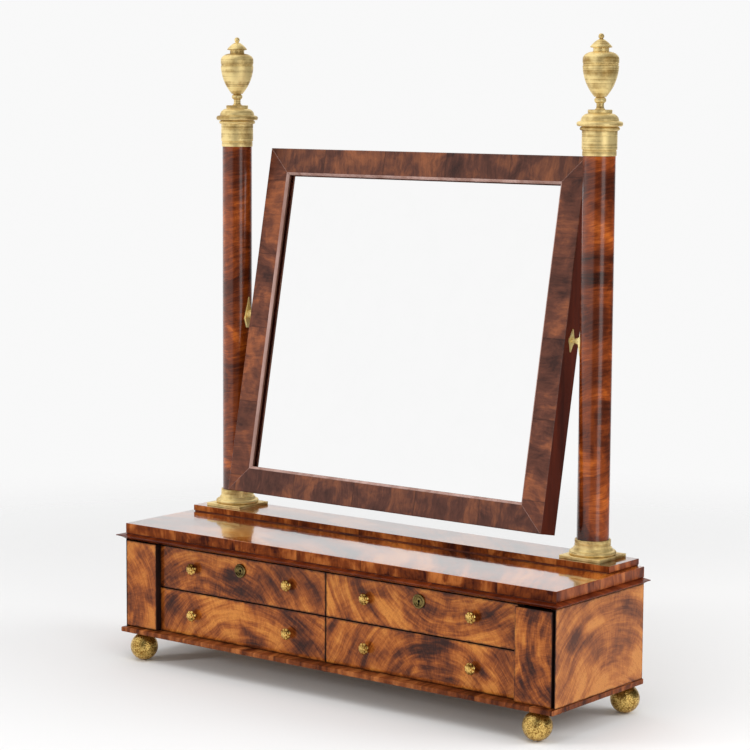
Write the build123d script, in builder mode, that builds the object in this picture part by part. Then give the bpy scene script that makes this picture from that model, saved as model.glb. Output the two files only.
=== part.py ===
from build123d import *
from math import cos, radians, sin, tan
import os

os.makedirs("parts", exist_ok=True)

# Table toilet mirror: a case of four drawers, two columns on its top and a mirror swinging between them.
# Millimetres. +Z is up, the front looks along -Y, and the origin lies on the table under the middle
# of the whole object.

# Case
case_width = 650.0
case_depth = 182.0
case_height = 112.0
side_thickness = 12.0
side_lip = 1.2
back_thickness = 8.0
guide_thickness = 8.0
divider_thickness = 8.0
dust_board_thickness = 6.0
drawer_split_x = -6.5
drawer_split_height = 56.0

# Base plinth and ball feet
foot_diameter = 34.6
foot_flat_depth = 0.3
foot_spigot_radius = 4.0
foot_spigot_length = 4.5
front_foot_inset = (27.5, 13.0)
back_foot_inset = (16.5, 13.0)
plinth_thickness = 6.0
plinth_front_projection = 8.0
plinth_side_projection = 1.5
plinth_edge_radius = 1.5

# Corner pilasters. The right one stands off the corner, the left one stands off the plinth.
pilaster_width = 50.0
pilaster_thickness = 8.0
pilaster_edge_radius = 0.6
pilaster_seat = {
    "left": {"side_gap": 0.0, "foot_gap": 1.5, "head_gap": 2.0},
    "right": {"side_gap": 3.8, "foot_gap": 0.0, "head_gap": 3.5},
}

# Top: sub-top board with a moulding round it, slab, slip and shelf
sub_top_thickness = 7.5
moulding_projection = 9.0
moulding_seat = 10.0
moulding_tip_height = 1.0
moulding_quirk = 0.8
slab_thickness = 12.5
slab_edge_radius = 0.8
slip_thickness = 1.4
slip_inset = 1.0
shelf_thickness = 7.0
shelf_depth = 63.5
shelf_end_inset = 7.6
shelf_edge_radius = 0.6

# Drawers
front_thickness = 12.0
front_gap = 0.8
front_top_gap = 3.4
front_bottom_gap = 1.0
board_setback_gap = 0.5
dovetail_lap = 4.5
dovetail_count = 3
dovetail_pitch_share = 0.56
dovetail_slope = 9.5
runner_gap = 0.3
drawer_side_thickness = 6.0
drawer_back_thickness = 6.0
drawer_bottom_thickness = 3.0
drawer_bottom_rise = 3.0
groove_depth = 2.5
groove_gap = 0.1
drawer_side_drop = 2.5
drawer_back_drop = 4.0
drawer_end_gap = 3.0

# Rosette knobs
knob_spacing = 153.0
knob_radius = 6.8
knob_petals = 8
knob_petal_radius = 2.3
knob_head_thickness = 3.0
knob_button_radius = 2.6
knob_button_height = 1.0
knob_neck_length = 4.5
knob_neck_radius = 2.6
knob_shank_radius = 1.8
knob_shank_length = 9.0
knob_height_upper = 29.4
knob_height_lower = 26.3

# Locks of the upper drawers
escutcheon_radius = 8.5
escutcheon_height = 2.4
escutcheon_rim_width = 1.6
escutcheon_field = 1.0
escutcheon_drop = 15.0
keyhole_radius = 1.7
keyhole_slot_width = 1.7
keyhole_slot_length = 5.0
lock_width = 44.0
lock_height = 30.0
lock_thickness = 7.0
lock_gap = 0.1
lock_pocket_radius = 5.0
lock_pocket_depth = 1.4
drill_pin_radius = 0.8
bolt_width = 13.6
bolt_thickness = 3.0
bolt_height = 17.0
bolt_gap = 0.2
bolt_travel = 7.0
mortise_gap = 1.5

# Columns, with their brass bases, capitals and urn finials
column_end_inset = 44.8
column_back_inset = 29.0
shaft_radius = 18.7
shaft_bottom_height = 9.6
shaft_length = 481.6
tenon_radius = 8.0
tenon_seat_depth = 6.0
joint_gap = 0.1
base_plate_side = 56.0
base_plate_thickness = 4.0
base_height = 22.0
base_torus_radius = 27.4
base_torus_thickness = 5.2
base_ring_wall = 2.2
base_ring_height = 9.4
cap_height = 52.0
cap_overlap = 29.0
cap_sleeve_wall = 1.5
cap_collar_height = 5.8
cap_bead_height = 4.2
cap_flange_radius = 26.4
cap_flange_thickness = 5.4
cap_disc_radius = 14.0
cap_disc_thickness = 3.8
finial_height = 85.4
finial_screw_radius = 3.0
finial_screw_length = 14.0
finial_stem_radius = 4.2
finial_stem_height = 7.4
finial_bead_thickness = 6.6
finial_ball_radius = 3.9
urn_radius = 20.6
urn_belly_height = 49.0
urn_band_width = 3.2
urn_shoulder_height = 57.9
urn_neck_height = 67.4
urn_brim_radius = 12.3

# Swinging mirror
frame_side_gap = 15.4
frame_height = 437.6
frame_drop = 6.3
frame_tilt = 11.2
rail_width = 33.3
frame_front_depth = 14.0
frame_back_depth = 16.0
sight_bevel = 3.0
frame_edge_chamfer = 0.8
glass_depth = 6.0
glass_thickness = 4.0
glass_rebate = 7.0
glass_gap = 1.0
backboard_thickness = 5.0
backboard_rebate = 12.0
backboard_gap = 0.5
block_length = 30.0
block_size = 6.0

# Mirror pivots, at this height over the shelf
pivot_height = 249.3
spindle_radius = 2.2
spindle_fit = 0.05
spindle_reach = 10.0
spindle_bore_gap = 0.4
boss_radius = 5.5
boss_length = 7.5
boss_neck_radius = 3.0
pivot_shank_radius = 2.8
pivot_shank_length = 9.0
pivot_plate_thickness = 1.5
pivot_plate_width = 14.0
pivot_plate_above = 17.0
pivot_plate_below = 22.0
socket_plate_thickness = 1.5
socket_plate_width = 12.0
socket_plate_height = 27.0

# Levels, from the table up
plinth_bottom = foot_diameter - 2 * foot_flat_depth
plinth_top = plinth_bottom + plinth_thickness
case_top = plinth_top + case_height
slab_bottom = case_top + sub_top_thickness
slab_top = slab_bottom + slab_thickness
shelf_bottom = slab_top + slip_thickness
shelf_top = shelf_bottom + shelf_thickness
shaft_bottom = shelf_top + shaft_bottom_height
shaft_top = shaft_bottom + shaft_length
cap_bottom = shaft_top - cap_overlap
cap_top = cap_bottom + cap_height
pivot_z = shelf_top + pivot_height
split_z = plinth_top + drawer_split_height
dust_bottom = split_z - dust_board_thickness / 2
dust_top = split_z + dust_board_thickness / 2

# The whole object reaches from the front feet back to the top edge of the leaning mirror
tilt = radians(frame_tilt)
foot_reach = plinth_front_projection - front_foot_inset[1] + foot_diameter / 2
frame_up = frame_height / 2 - frame_drop
column_setback = case_depth - column_back_inset
mirror_reach = column_setback + frame_up * sin(tilt) + frame_back_depth * cos(tilt)
front_y = (foot_reach - mirror_reach) / 2
back_y = front_y + case_depth
inner_back_y = back_y - back_thickness
carcass_front_y = front_y + pilaster_thickness
drawer_back_y = carcass_front_y + front_thickness
board_front_y = drawer_back_y + board_setback_gap
tail_front_y = carcass_front_y + dovetail_lap
divider_front_y = tail_front_y + board_setback_gap
half_width = case_width / 2
inner_half_width = half_width - side_thickness
shelf_half_width = half_width - shelf_end_inset
column_x = shelf_half_width - column_end_inset
column_y = front_y + column_setback
half_frame_width = column_x - shaft_radius - frame_side_gap
frame_width = 2 * half_frame_width

# Clear width between the pilasters, shared by the two columns of drawers
opening_x = {
    "left": -half_width + side_lip + pilaster_seat["left"]["side_gap"] + pilaster_width,
    "right": half_width - side_lip - pilaster_seat["right"]["side_gap"] - pilaster_width,
}
sides = {"left": -1, "right": 1}
on_top = (Align.CENTER, Align.CENTER, Align.MIN)
hung_under = (Align.CENTER, Align.CENTER, Align.MAX)


def save(piece, name):
    piece.part.label = name
    export_step(piece.part, f"parts/{name}.step")


def ordered(*values):
    return (min(values), max(values))


def block(x_range, y_range, z_range, mode=Mode.ADD):
    """A straight board between three pairs of limits."""
    centre = [(low + high) / 2 for low, high in (x_range, y_range, z_range)]
    size = [high - low for low, high in (x_range, y_range, z_range)]
    with Locations(tuple(centre)):
        Box(*size, mode=mode)


def upright(x, y):
    """The plane of a turned profile: its x is the radius, its y is the height."""
    return Plane(origin=(x, y, 0), x_dir=(1, 0, 0), z_dir=(0, -1, 0))


def spin(x, y):
    revolve(axis=Axis((x, y, 0), (0, 0, 1)))


# ---- Base ----

foot_radius = foot_diameter / 2
plinth_half_width = half_width + plinth_side_projection
plinth_front_y = front_y - plinth_front_projection
foot_places = {
    "front": (plinth_half_width - front_foot_inset[0], plinth_front_y + front_foot_inset[1]),
    "back": (plinth_half_width - back_foot_inset[0], back_y - back_foot_inset[1]),
}

for row, (x, y) in foot_places.items():
    with BuildPart() as ball_feet:
        with Locations((-x, y, plinth_bottom / 2), (x, y, plinth_bottom / 2)):
            Sphere(foot_radius)
        block((-x - foot_radius, x + foot_radius), (y - foot_radius, y + foot_radius),
              (0, plinth_bottom), Mode.INTERSECT)
        with Locations((-x, y, plinth_bottom), (x, y, plinth_bottom)):
            Cylinder(foot_spigot_radius, foot_spigot_length, align=on_top)
    save(ball_feet, f"ball_feet_{row}")

with BuildPart() as plinth_board:
    block((-plinth_half_width, plinth_half_width), (plinth_front_y, back_y), (plinth_bottom, plinth_top))
    front_edges = plinth_board.edges().filter_by(Axis.X).group_by(Axis.Y)[0]
    fillet(front_edges, plinth_edge_radius)
    for x, y in foot_places.values():
        with Locations((-x, y, plinth_bottom), (x, y, plinth_bottom)):
            Cylinder(foot_spigot_radius + joint_gap, foot_spigot_length + joint_gap, align=on_top,
                     mode=Mode.SUBTRACT)
save(plinth_board, "plinth_board")


# ---- Case ----

for side, sign in sides.items():
    outer, inner = sign * half_width, sign * inner_half_width
    with BuildPart() as side_panel:
        block(ordered(outer, inner), (front_y, back_y), (plinth_top, case_top))
        block(ordered(outer - sign * side_lip, inner), (front_y, carcass_front_y), (plinth_top, case_top),
              Mode.SUBTRACT)
    save(side_panel, f"side_panel_{side}")

    seat = pilaster_seat[side]
    pilaster_outer = outer - sign * (side_lip + seat["side_gap"])
    pilaster_bottom = plinth_top + seat["foot_gap"]
    with BuildPart() as pilaster:
        block(ordered(pilaster_outer, opening_x[side]), (front_y, carcass_front_y),
              (pilaster_bottom, case_top - seat["head_gap"]))
        fillet(pilaster.edges().filter_by(Axis.Z).group_by(Axis.Y)[0], pilaster_edge_radius)
    save(pilaster, f"pilaster_{side}")

with BuildPart() as back_panel:
    block((-inner_half_width, inner_half_width), (inner_back_y, back_y), (plinth_top, case_top))
save(back_panel, "back_panel")

with BuildPart() as drawer_guides:
    for side, sign in sides.items():
        block(ordered(opening_x[side], opening_x[side] + sign * guide_thickness),
              (carcass_front_y, inner_back_y), (plinth_top, case_top))
save(drawer_guides, "drawer_guides")

divider_x = (drawer_split_x - divider_thickness / 2, drawer_split_x + divider_thickness / 2)
with BuildPart() as centre_divider:
    block(divider_x, (divider_front_y, inner_back_y), (plinth_top, case_top))
save(centre_divider, "centre_divider")

# The clear bay of each column of drawers, from its guide wall to the divider
bay_x = {"left": (opening_x["left"], divider_x[0]), "right": (divider_x[1], opening_x["right"])}
with BuildPart() as dust_boards:
    for bay in bay_x.values():
        block(bay, (board_front_y, inner_back_y), (dust_bottom, dust_top))
save(dust_boards, "dust_boards")

# The drawer fronts lie between the pilasters and close the bays, their lips meeting over the divider
front_x = {
    "left": (opening_x["left"] + front_gap, drawer_split_x - front_gap),
    "right": (drawer_split_x + front_gap, opening_x["right"] - front_gap),
}
front_z = {
    "upper": (split_z + front_gap, case_top - front_top_gap),
    "lower": (plinth_top + front_bottom_gap, split_z - front_gap),
}
carcass_z = {
    "upper": (dust_top + runner_gap, front_z["upper"][1] - drawer_side_drop),
    "lower": (plinth_top + runner_gap, dust_bottom - drawer_side_drop),
}

# The locks are let into the backs of the upper fronts, their bolts rising into the sub-top board
lock_x = {side: (low + high) / 2 for side, (low, high) in front_x.items()}
lock_front_y = drawer_back_y - lock_thickness
bolt_y = (lock_front_y + lock_pocket_depth + drawer_back_y) / 2
bolt_top = front_z["upper"][1] - bolt_gap
mortise_top = bolt_top + bolt_travel + mortise_gap


# ---- Top ----

with BuildPart() as sub_top_board:
    seat_x = half_width - moulding_seat
    block((-seat_x, seat_x), (front_y + moulding_seat, back_y), (case_top, slab_bottom))
    for x in lock_x.values():
        block((x - bolt_width / 2 - mortise_gap, x + bolt_width / 2 + mortise_gap),
              (bolt_y - bolt_thickness / 2 - mortise_gap, bolt_y + bolt_thickness / 2 + mortise_gap),
              (case_top, mortise_top), Mode.SUBTRACT)
save(sub_top_board, "sub_top_board")


def moulding_section(section_plane):
    """Knife-edged moulding with a cavetto under it. Its x runs outwards from the case's face."""
    tip_bottom = case_top + (sub_top_thickness - moulding_quirk) * 0.68
    tip_top = tip_bottom + moulding_tip_height
    quirk_z = slab_bottom - moulding_quirk
    with BuildSketch(section_plane) as section:
        with BuildLine():
            Polyline((0, case_top), (-moulding_seat, case_top), (-moulding_seat, slab_bottom),
                     (-moulding_quirk, slab_bottom), (-moulding_quirk, quirk_z), (0, quirk_z),
                     (moulding_projection, tip_top), (moulding_projection, tip_bottom))
            ThreePointArc((moulding_projection, tip_bottom), (moulding_projection * 0.38, case_top + 2.4),
                          (0, case_top))
        make_face()
    return section.sketch


# Plan limits of the mitre cuts, just outside the moulding and at the back of its seat
mitre_out_x = half_width + moulding_projection + 1
mitre_out_y = front_y - moulding_projection - 1
mitre_in_x = half_width - moulding_seat
mitre_in_y = front_y + moulding_seat

with BuildPart() as cornice_front:
    section = moulding_section(Plane(origin=(0, front_y, 0), x_dir=(0, -1, 0), z_dir=(-1, 0, 0)))
    extrude(section, amount=mitre_out_x, both=True)
    with BuildSketch(Plane.XY.offset(case_top)):
        with BuildLine():
            Polyline((-mitre_out_x, mitre_out_y), (mitre_out_x, mitre_out_y), (mitre_in_x, mitre_in_y),
                     (-mitre_in_x, mitre_in_y), close=True)
        make_face()
    extrude(amount=sub_top_thickness, mode=Mode.INTERSECT)
save(cornice_front, "cornice_front")

with BuildPart() as cornice_right:
    section = moulding_section(Plane(origin=(half_width, back_y, 0), x_dir=(1, 0, 0), z_dir=(0, -1, 0)))
    extrude(section, amount=back_y - mitre_out_y)
    with BuildSketch(Plane.XY.offset(case_top)):
        with BuildLine():
            Polyline((mitre_out_x, mitre_out_y), (mitre_out_x, back_y), (mitre_in_x, back_y),
                     (mitre_in_x, mitre_in_y), close=True)
        make_face()
    extrude(amount=sub_top_thickness, mode=Mode.INTERSECT)
save(cornice_right, "cornice_right")

with BuildPart() as cornice_left:
    add(mirror(cornice_right.part, about=Plane.YZ))
save(cornice_left, "cornice_left")

with BuildPart() as top_slab:
    block((-half_width, half_width), (front_y, back_y), (slab_bottom, slab_top))
    fillet(top_slab.faces().sort_by(Axis.Z)[-1].edges(), slab_edge_radius)
    with Locations((-column_x, column_y, slab_top), (column_x, column_y, slab_top)):
        Cylinder(tenon_radius + joint_gap, tenon_seat_depth, align=hung_under, mode=Mode.SUBTRACT)
save(top_slab, "top_slab")

shelf_front_y = back_y - shelf_depth
with BuildPart() as shelf_slip:
    block((-shelf_half_width + slip_inset, shelf_half_width - slip_inset),
          (shelf_front_y + slip_inset, back_y), (slab_top, shelf_bottom))
    with Locations((-column_x, column_y, slab_top), (column_x, column_y, slab_top)):
        Cylinder(tenon_radius + joint_gap, slip_thickness, align=on_top, mode=Mode.SUBTRACT)
save(shelf_slip, "shelf_slip")

with BuildPart() as shelf_board:
    block((-shelf_half_width, shelf_half_width), (shelf_front_y, back_y), (shelf_bottom, shelf_top))
    fillet(shelf_board.faces().sort_by(Axis.Z)[-1].edges(), shelf_edge_radius)
    with Locations((-column_x, column_y, shelf_bottom), (column_x, column_y, shelf_bottom)):
        Cylinder(tenon_radius + joint_gap, shelf_thickness, align=on_top, mode=Mode.SUBTRACT)
save(shelf_board, "shelf_board")


# ---- Columns ----

plate_top = shelf_top + base_plate_thickness
base_top = shelf_top + base_height
ring_radius = shaft_radius + joint_gap + base_ring_wall
ring_bottom = base_top - base_ring_height
torus_top = plate_top + base_torus_thickness
torus_edge = base_torus_thickness * 0.3
torus_inner = base_torus_radius - torus_edge
neck_radius = ring_radius + 1.2
bell_radius = neck_radius + 0.7
bell_middle = (torus_top + ring_bottom) / 2
tenon_bottom = slab_top - tenon_seat_depth

cap_sleeve_radius = shaft_radius + joint_gap + cap_sleeve_wall
collar_radius = cap_sleeve_radius - 0.7
collar_top = cap_bottom + cap_collar_height
flange_bottom = cap_bottom + cap_overlap + cap_bead_height
flange_top = flange_bottom + cap_flange_thickness
flange_edge = cap_flange_thickness * 0.27
flange_inner = cap_flange_radius - flange_edge
cap_bead_radius = cap_sleeve_radius + 2.4
bead_bottom = flange_bottom - 4.0
disc_bottom = cap_top - cap_disc_thickness
dome_radius = cap_flange_radius - 4.8
dome_middle = (flange_top + disc_bottom) / 2 + 1.2


def finial_profile():
    """Urn finial, from its stem on the capital to the ball on its lid."""
    bead_bottom = cap_top + finial_stem_height
    bead_top = bead_bottom + finial_bead_thickness
    bead_radius = finial_stem_radius + 2.6
    belly_top = cap_top + urn_belly_height
    belly_middle = (bead_top + belly_top) / 2 - 1.0
    band_top = belly_top + urn_band_width
    urn_shoulder = cap_top + urn_shoulder_height
    groove_radius = urn_radius - 0.7
    lid_bottom = cap_top + urn_neck_height
    neck = urn_radius * 0.41
    ball_middle = cap_top + finial_height - finial_ball_radius
    ball_neck = finial_ball_radius * 0.56
    ball_start = ball_middle - (finial_ball_radius**2 - ball_neck**2) ** 0.5
    lid_middle = (lid_bottom + ball_start) / 2
    Polyline((0, cap_top), (finial_stem_radius + 1.2, cap_top), (finial_stem_radius, cap_top + 2.6),
             (finial_stem_radius, bead_bottom), (bead_radius, bead_bottom + finial_bead_thickness * 0.3),
             (bead_radius, bead_bottom + finial_bead_thickness * 0.7), (finial_stem_radius + 0.4, bead_top),
             (urn_radius * 0.3, bead_top + 0.4))
    ThreePointArc((urn_radius * 0.3, bead_top + 0.4), (urn_radius * 0.79, belly_middle),
                  (urn_radius, belly_top))
    Polyline((urn_radius, belly_top), (groove_radius, belly_top + 0.6), (groove_radius, band_top - 0.6),
             (urn_radius, band_top), (urn_radius, urn_shoulder), (urn_radius * 0.87, urn_shoulder + 3.6),
             (neck, urn_shoulder + 5.9), (neck, lid_bottom), (urn_brim_radius, lid_bottom + 0.2),
             (urn_brim_radius, lid_bottom + 1.5), (urn_brim_radius * 0.6, lid_middle - 1.0),
             (ball_neck, ball_start))
    ThreePointArc((ball_neck, ball_start), (finial_ball_radius, ball_middle), (0, cap_top + finial_height))
    Line((0, cap_top + finial_height), (0, cap_top))


with BuildPart() as column_bases:
    for x in (-column_x, column_x):
        block((x - base_plate_side / 2, x + base_plate_side / 2),
              (column_y - base_plate_side / 2, column_y + base_plate_side / 2), (shelf_top, plate_top))
        with BuildSketch(upright(x, column_y)):
            with BuildLine():
                Polyline((0, plate_top), (torus_inner, plate_top),
                         (base_torus_radius, plate_top + torus_edge),
                         (base_torus_radius, torus_top - torus_edge), (torus_inner, torus_top),
                         (bell_radius, bell_middle), (neck_radius, ring_bottom), (ring_radius, ring_bottom),
                         (ring_radius, base_top), (0, base_top), close=True)
            make_face()
        spin(x, column_y)
    with Locations((-column_x, column_y, base_top), (column_x, column_y, base_top)):
        Cylinder(shaft_radius + joint_gap, base_top - shaft_bottom, align=hung_under, mode=Mode.SUBTRACT)
        Cylinder(tenon_radius + joint_gap, base_height, align=hung_under, mode=Mode.SUBTRACT)
save(column_bases, "column_bases")

for side, sign in sides.items():
    x = sign * column_x
    with BuildPart() as column_shaft:
        with Locations((x, column_y, shaft_bottom)):
            Cylinder(shaft_radius, shaft_length, align=on_top)
            Cylinder(tenon_radius, shaft_bottom - tenon_bottom, align=hung_under)
        with Locations((x, column_y, shaft_top)):
            Cylinder(finial_screw_radius + joint_gap, finial_screw_length, align=hung_under,
                     mode=Mode.SUBTRACT)
        with Locations(Location((x - sign * shaft_radius, column_y, pivot_z), (0, sign * 90, 0))):
            Cylinder(pivot_shank_radius + joint_gap, pivot_shank_length + joint_gap, align=on_top,
                     mode=Mode.SUBTRACT)
    save(column_shaft, f"column_shaft_{side}")

with BuildPart() as column_capitals:
    for x in (-column_x, column_x):
        with BuildSketch(upright(x, column_y)):
            with BuildLine():
                Polyline((0, cap_bottom), (collar_radius, cap_bottom), (collar_radius, collar_top),
                         (cap_sleeve_radius, collar_top + 1.2), (cap_sleeve_radius, bead_bottom),
                         (cap_bead_radius, bead_bottom + 1.2), (cap_bead_radius, flange_bottom),
                         (flange_inner, flange_bottom), (cap_flange_radius, flange_bottom + flange_edge),
                         (cap_flange_radius, flange_top - flange_edge), (flange_inner, flange_top),
                         (dome_radius, flange_top))
                ThreePointArc((dome_radius, flange_top), (dome_radius - 2.4, dome_middle),
                              (cap_disc_radius - 0.6, disc_bottom))
                Polyline((cap_disc_radius - 0.6, disc_bottom), (cap_disc_radius, disc_bottom),
                         (cap_disc_radius, cap_top), (0, cap_top), (0, cap_bottom))
            make_face()
        spin(x, column_y)
    with Locations((-column_x, column_y, cap_bottom), (column_x, column_y, cap_bottom)):
        Cylinder(shaft_radius + joint_gap, cap_overlap, align=on_top, mode=Mode.SUBTRACT)
        Cylinder(finial_screw_radius + joint_gap, cap_height, align=on_top, mode=Mode.SUBTRACT)
save(column_capitals, "column_capitals")

with BuildPart() as finials:
    for x in (-column_x, column_x):
        with BuildSketch(upright(x, column_y)):
            with BuildLine():
                finial_profile()
            make_face()
        spin(x, column_y)
    with Locations((-column_x, column_y, cap_top), (column_x, column_y, cap_top)):
        Cylinder(finial_screw_radius, cap_height - cap_overlap + finial_screw_length / 2, align=hung_under)
save(finials, "finials")


# ---- Pivots on the columns ----

# Pointed plate: widest at the pivot, a blunt head over it and a long point under it
pivot_plate_outline = [
    (-pivot_plate_width * 0.28, pivot_plate_above), (pivot_plate_width * 0.28, pivot_plate_above),
    (pivot_plate_width / 2, pivot_plate_above * 0.3), (0, -pivot_plate_below),
    (-pivot_plate_width / 2, pivot_plate_above * 0.3),
]

with BuildPart() as pivot_plates:
    for sign in sides.values():
        with BuildSketch(Plane(origin=(sign * column_x, column_y, pivot_z), x_dir=(0, sign, 0),
                               z_dir=(-sign, 0, 0))):
            with BuildLine():
                Polyline(*pivot_plate_outline, close=True)
            make_face()
        extrude(amount=shaft_radius + pivot_plate_thickness)
    with Locations((-column_x, column_y, pivot_z), (column_x, column_y, pivot_z)):
        Cylinder(shaft_radius, 3 * pivot_plate_below, mode=Mode.SUBTRACT)
    for sign in sides.values():
        with Locations(Location((sign * (column_x - shaft_radius), column_y, pivot_z), (0, 90, 0))):
            Cylinder(pivot_shank_radius + joint_gap, 4 * pivot_plate_thickness, mode=Mode.SUBTRACT)
save(pivot_plates, "pivot_plates")

boss_start = column_x - shaft_radius - pivot_plate_thickness
boss_end = boss_start - boss_length
spindle_end = half_frame_width - spindle_reach
with BuildPart() as pivot_pins:
    for sign in sides.values():
        with BuildSketch(Plane(origin=(0, column_y, pivot_z), x_dir=(sign, 0, 0), z_dir=(0, -1, 0))):
            with BuildLine():
                Polyline((boss_start + pivot_plate_thickness + pivot_shank_length, 0),
                         (boss_start + pivot_plate_thickness + pivot_shank_length, pivot_shank_radius),
                         (boss_start, pivot_shank_radius), (boss_start, boss_radius - 0.6),
                         (boss_start - boss_length * 0.27, boss_radius),
                         (boss_start - boss_length * 0.56, boss_radius - 1.4), (boss_end, boss_neck_radius),
                         (boss_end, spindle_radius), (spindle_end, spindle_radius), (spindle_end, 0),
                         close=True)
            make_face()
        revolve(axis=Axis((0, column_y, pivot_z), (1, 0, 0)))
save(pivot_pins, "pivot_pins")


# ---- Swinging mirror ----

# Plane of the mirror through its pivots: x to the right, y up the frame, z out of its face
frame_plane = Plane(origin=(0, column_y, pivot_z), x_dir=(1, 0, 0), z_dir=(0, -cos(tilt), sin(tilt)))
across, up, out = frame_plane.x_dir, frame_plane.y_dir, frame_plane.z_dir
frame_centre = frame_plane.origin - up * frame_drop
half_frame_height = frame_height / 2
sight = rail_width
seat_front = frame_front_depth - glass_depth
glass_back = seat_front - glass_thickness
board_step = backboard_thickness - frame_back_depth


def frame_member(inward, to_edge, half_length):
    """One mitred member, from its outer edge inwards, with the rebates for glass and backboard."""
    along = inward.cross(out)
    origin = frame_centre - inward * to_edge
    with BuildPart() as member:
        with BuildSketch(Plane(origin=origin, x_dir=inward, z_dir=along)):
            with BuildLine():
                Polyline(
                    (0, -frame_back_depth), (0, frame_front_depth - frame_edge_chamfer),
                    (frame_edge_chamfer, frame_front_depth), (sight - sight_bevel, frame_front_depth),
                    (sight, frame_front_depth - sight_bevel), (sight, seat_front),
                    (sight - glass_rebate, seat_front), (sight - glass_rebate, board_step),
                    (sight - backboard_rebate, board_step), (sight - backboard_rebate, -frame_back_depth),
                    close=True)
            make_face()
        extrude(amount=half_length, both=True)
        with BuildSketch(Plane(origin=frame_centre - out * frame_back_depth, x_dir=along, z_dir=out)):
            with BuildLine():
                Polyline((-half_length, -to_edge), (half_length, -to_edge),
                         (half_length - rail_width, rail_width - to_edge),
                         (rail_width - half_length, rail_width - to_edge), close=True)
            make_face()
        extrude(amount=frame_front_depth + frame_back_depth, mode=Mode.INTERSECT)
    return member


save(frame_member(-up, half_frame_height, half_frame_width), "frame_top_rail")
save(frame_member(up, half_frame_height, half_frame_width), "frame_bottom_rail")

for side, sign in sides.items():
    mitred_stile = frame_member(across * -sign, half_frame_width, half_frame_height)
    with BuildPart() as frame_stile:
        add(mitred_stile.part)
        with Locations(Location((sign * half_frame_width, column_y, pivot_z), (0, 90, 0))):
            Cylinder(spindle_radius + spindle_bore_gap, 2 * (spindle_reach + joint_gap), mode=Mode.SUBTRACT)
    save(frame_stile, f"frame_stile_{side}")

glass_width = frame_width - 2 * (rail_width - glass_rebate + glass_gap)
glass_height = frame_height - 2 * (rail_width - glass_rebate + glass_gap)
glass_plane = Plane(origin=frame_centre, x_dir=across, z_dir=out)
with BuildPart() as mirror_glass:
    with BuildSketch(glass_plane.offset(glass_back)):
        Rectangle(glass_width, glass_height)
    extrude(amount=glass_thickness)
save(mirror_glass, "mirror_glass")

board_width = frame_width - 2 * (rail_width - backboard_rebate + backboard_gap)
board_height = frame_height - 2 * (rail_width - backboard_rebate + backboard_gap)
with BuildPart() as backboard:
    with BuildSketch(glass_plane.offset(-frame_back_depth)):
        Rectangle(board_width, board_height)
    extrude(amount=backboard_thickness)
save(backboard, "backboard")

# Glue blocks in the rebate, behind the glass
block_x = half_frame_width - rail_width + glass_rebate - block_size / 2
block_y = half_frame_height - rail_width + glass_rebate - block_size / 2
with BuildPart() as glass_blocks:
    with BuildSketch(glass_plane.offset(glass_back - block_size)):
        with Locations(*[(sx * block_x, sy * block_y / 2) for sx in (-1, 1) for sy in (-1, 1)]):
            Rectangle(block_size, block_length)
        with Locations(*[(sx * block_x / 2, sy * block_y) for sx in (-1, 1) for sy in (-1, 1)]):
            Rectangle(block_length, block_size)
    extrude(amount=block_size)
save(glass_blocks, "glass_blocks")

# Lozenge with hollowed sides
half_plate_width, half_plate_height = socket_plate_width / 2, socket_plate_height / 2
waist, shoulder = half_plate_width * 0.4, half_plate_height * 0.48
with BuildPart() as socket_plates:
    for sign in sides.values():
        with BuildSketch(Plane(origin=(sign * half_frame_width, column_y, pivot_z), x_dir=out * sign,
                               z_dir=(sign, 0, 0))):
            with BuildLine():
                Polyline((-half_plate_width, 0), (-waist, shoulder), (0, half_plate_height),
                         (waist, shoulder), (half_plate_width, 0), (waist, -shoulder),
                         (0, -half_plate_height), (-waist, -shoulder), close=True)
            make_face()
            Circle(spindle_radius + spindle_fit, mode=Mode.SUBTRACT)
        extrude(amount=socket_plate_thickness)
save(socket_plates, "socket_plates")


# ---- Drawers ----

keyhole_z = front_z["upper"][1] - escutcheon_drop


def keyhole(x, plane_y):
    """The outline of a keyhole: a round hole over a straight slot."""
    with BuildSketch(Plane(origin=(x, plane_y, keyhole_z), x_dir=(1, 0, 0), z_dir=(0, -1, 0))) as outline:
        Circle(keyhole_radius)
        with Locations((0, -keyhole_slot_length / 2)):
            Rectangle(keyhole_slot_width, keyhole_slot_length)
    return outline.sketch


def tail_outlines(side_x, low_z, high_z, gap):
    """Half-blind dovetails in the plane of a drawer side, or with a gap the sockets that take them."""
    pitch = (high_z - low_z) / dovetail_count
    tip = pitch * dovetail_pitch_share / 2 + gap
    root = tip - (drawer_back_y - tail_front_y) * tan(radians(dovetail_slope))
    with BuildSketch(Plane(origin=(side_x, 0, 0), x_dir=(0, 1, 0), z_dir=(1, 0, 0))) as outlines:
        for i in range(dovetail_count):
            z = low_z + (i + 0.5) * pitch
            with BuildLine():
                Polyline((tail_front_y - gap, z - tip), (tail_front_y - gap, z + tip),
                         (drawer_back_y, z + root), (drawer_back_y, z - root), close=True)
            make_face()
    return outlines.sketch


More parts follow.
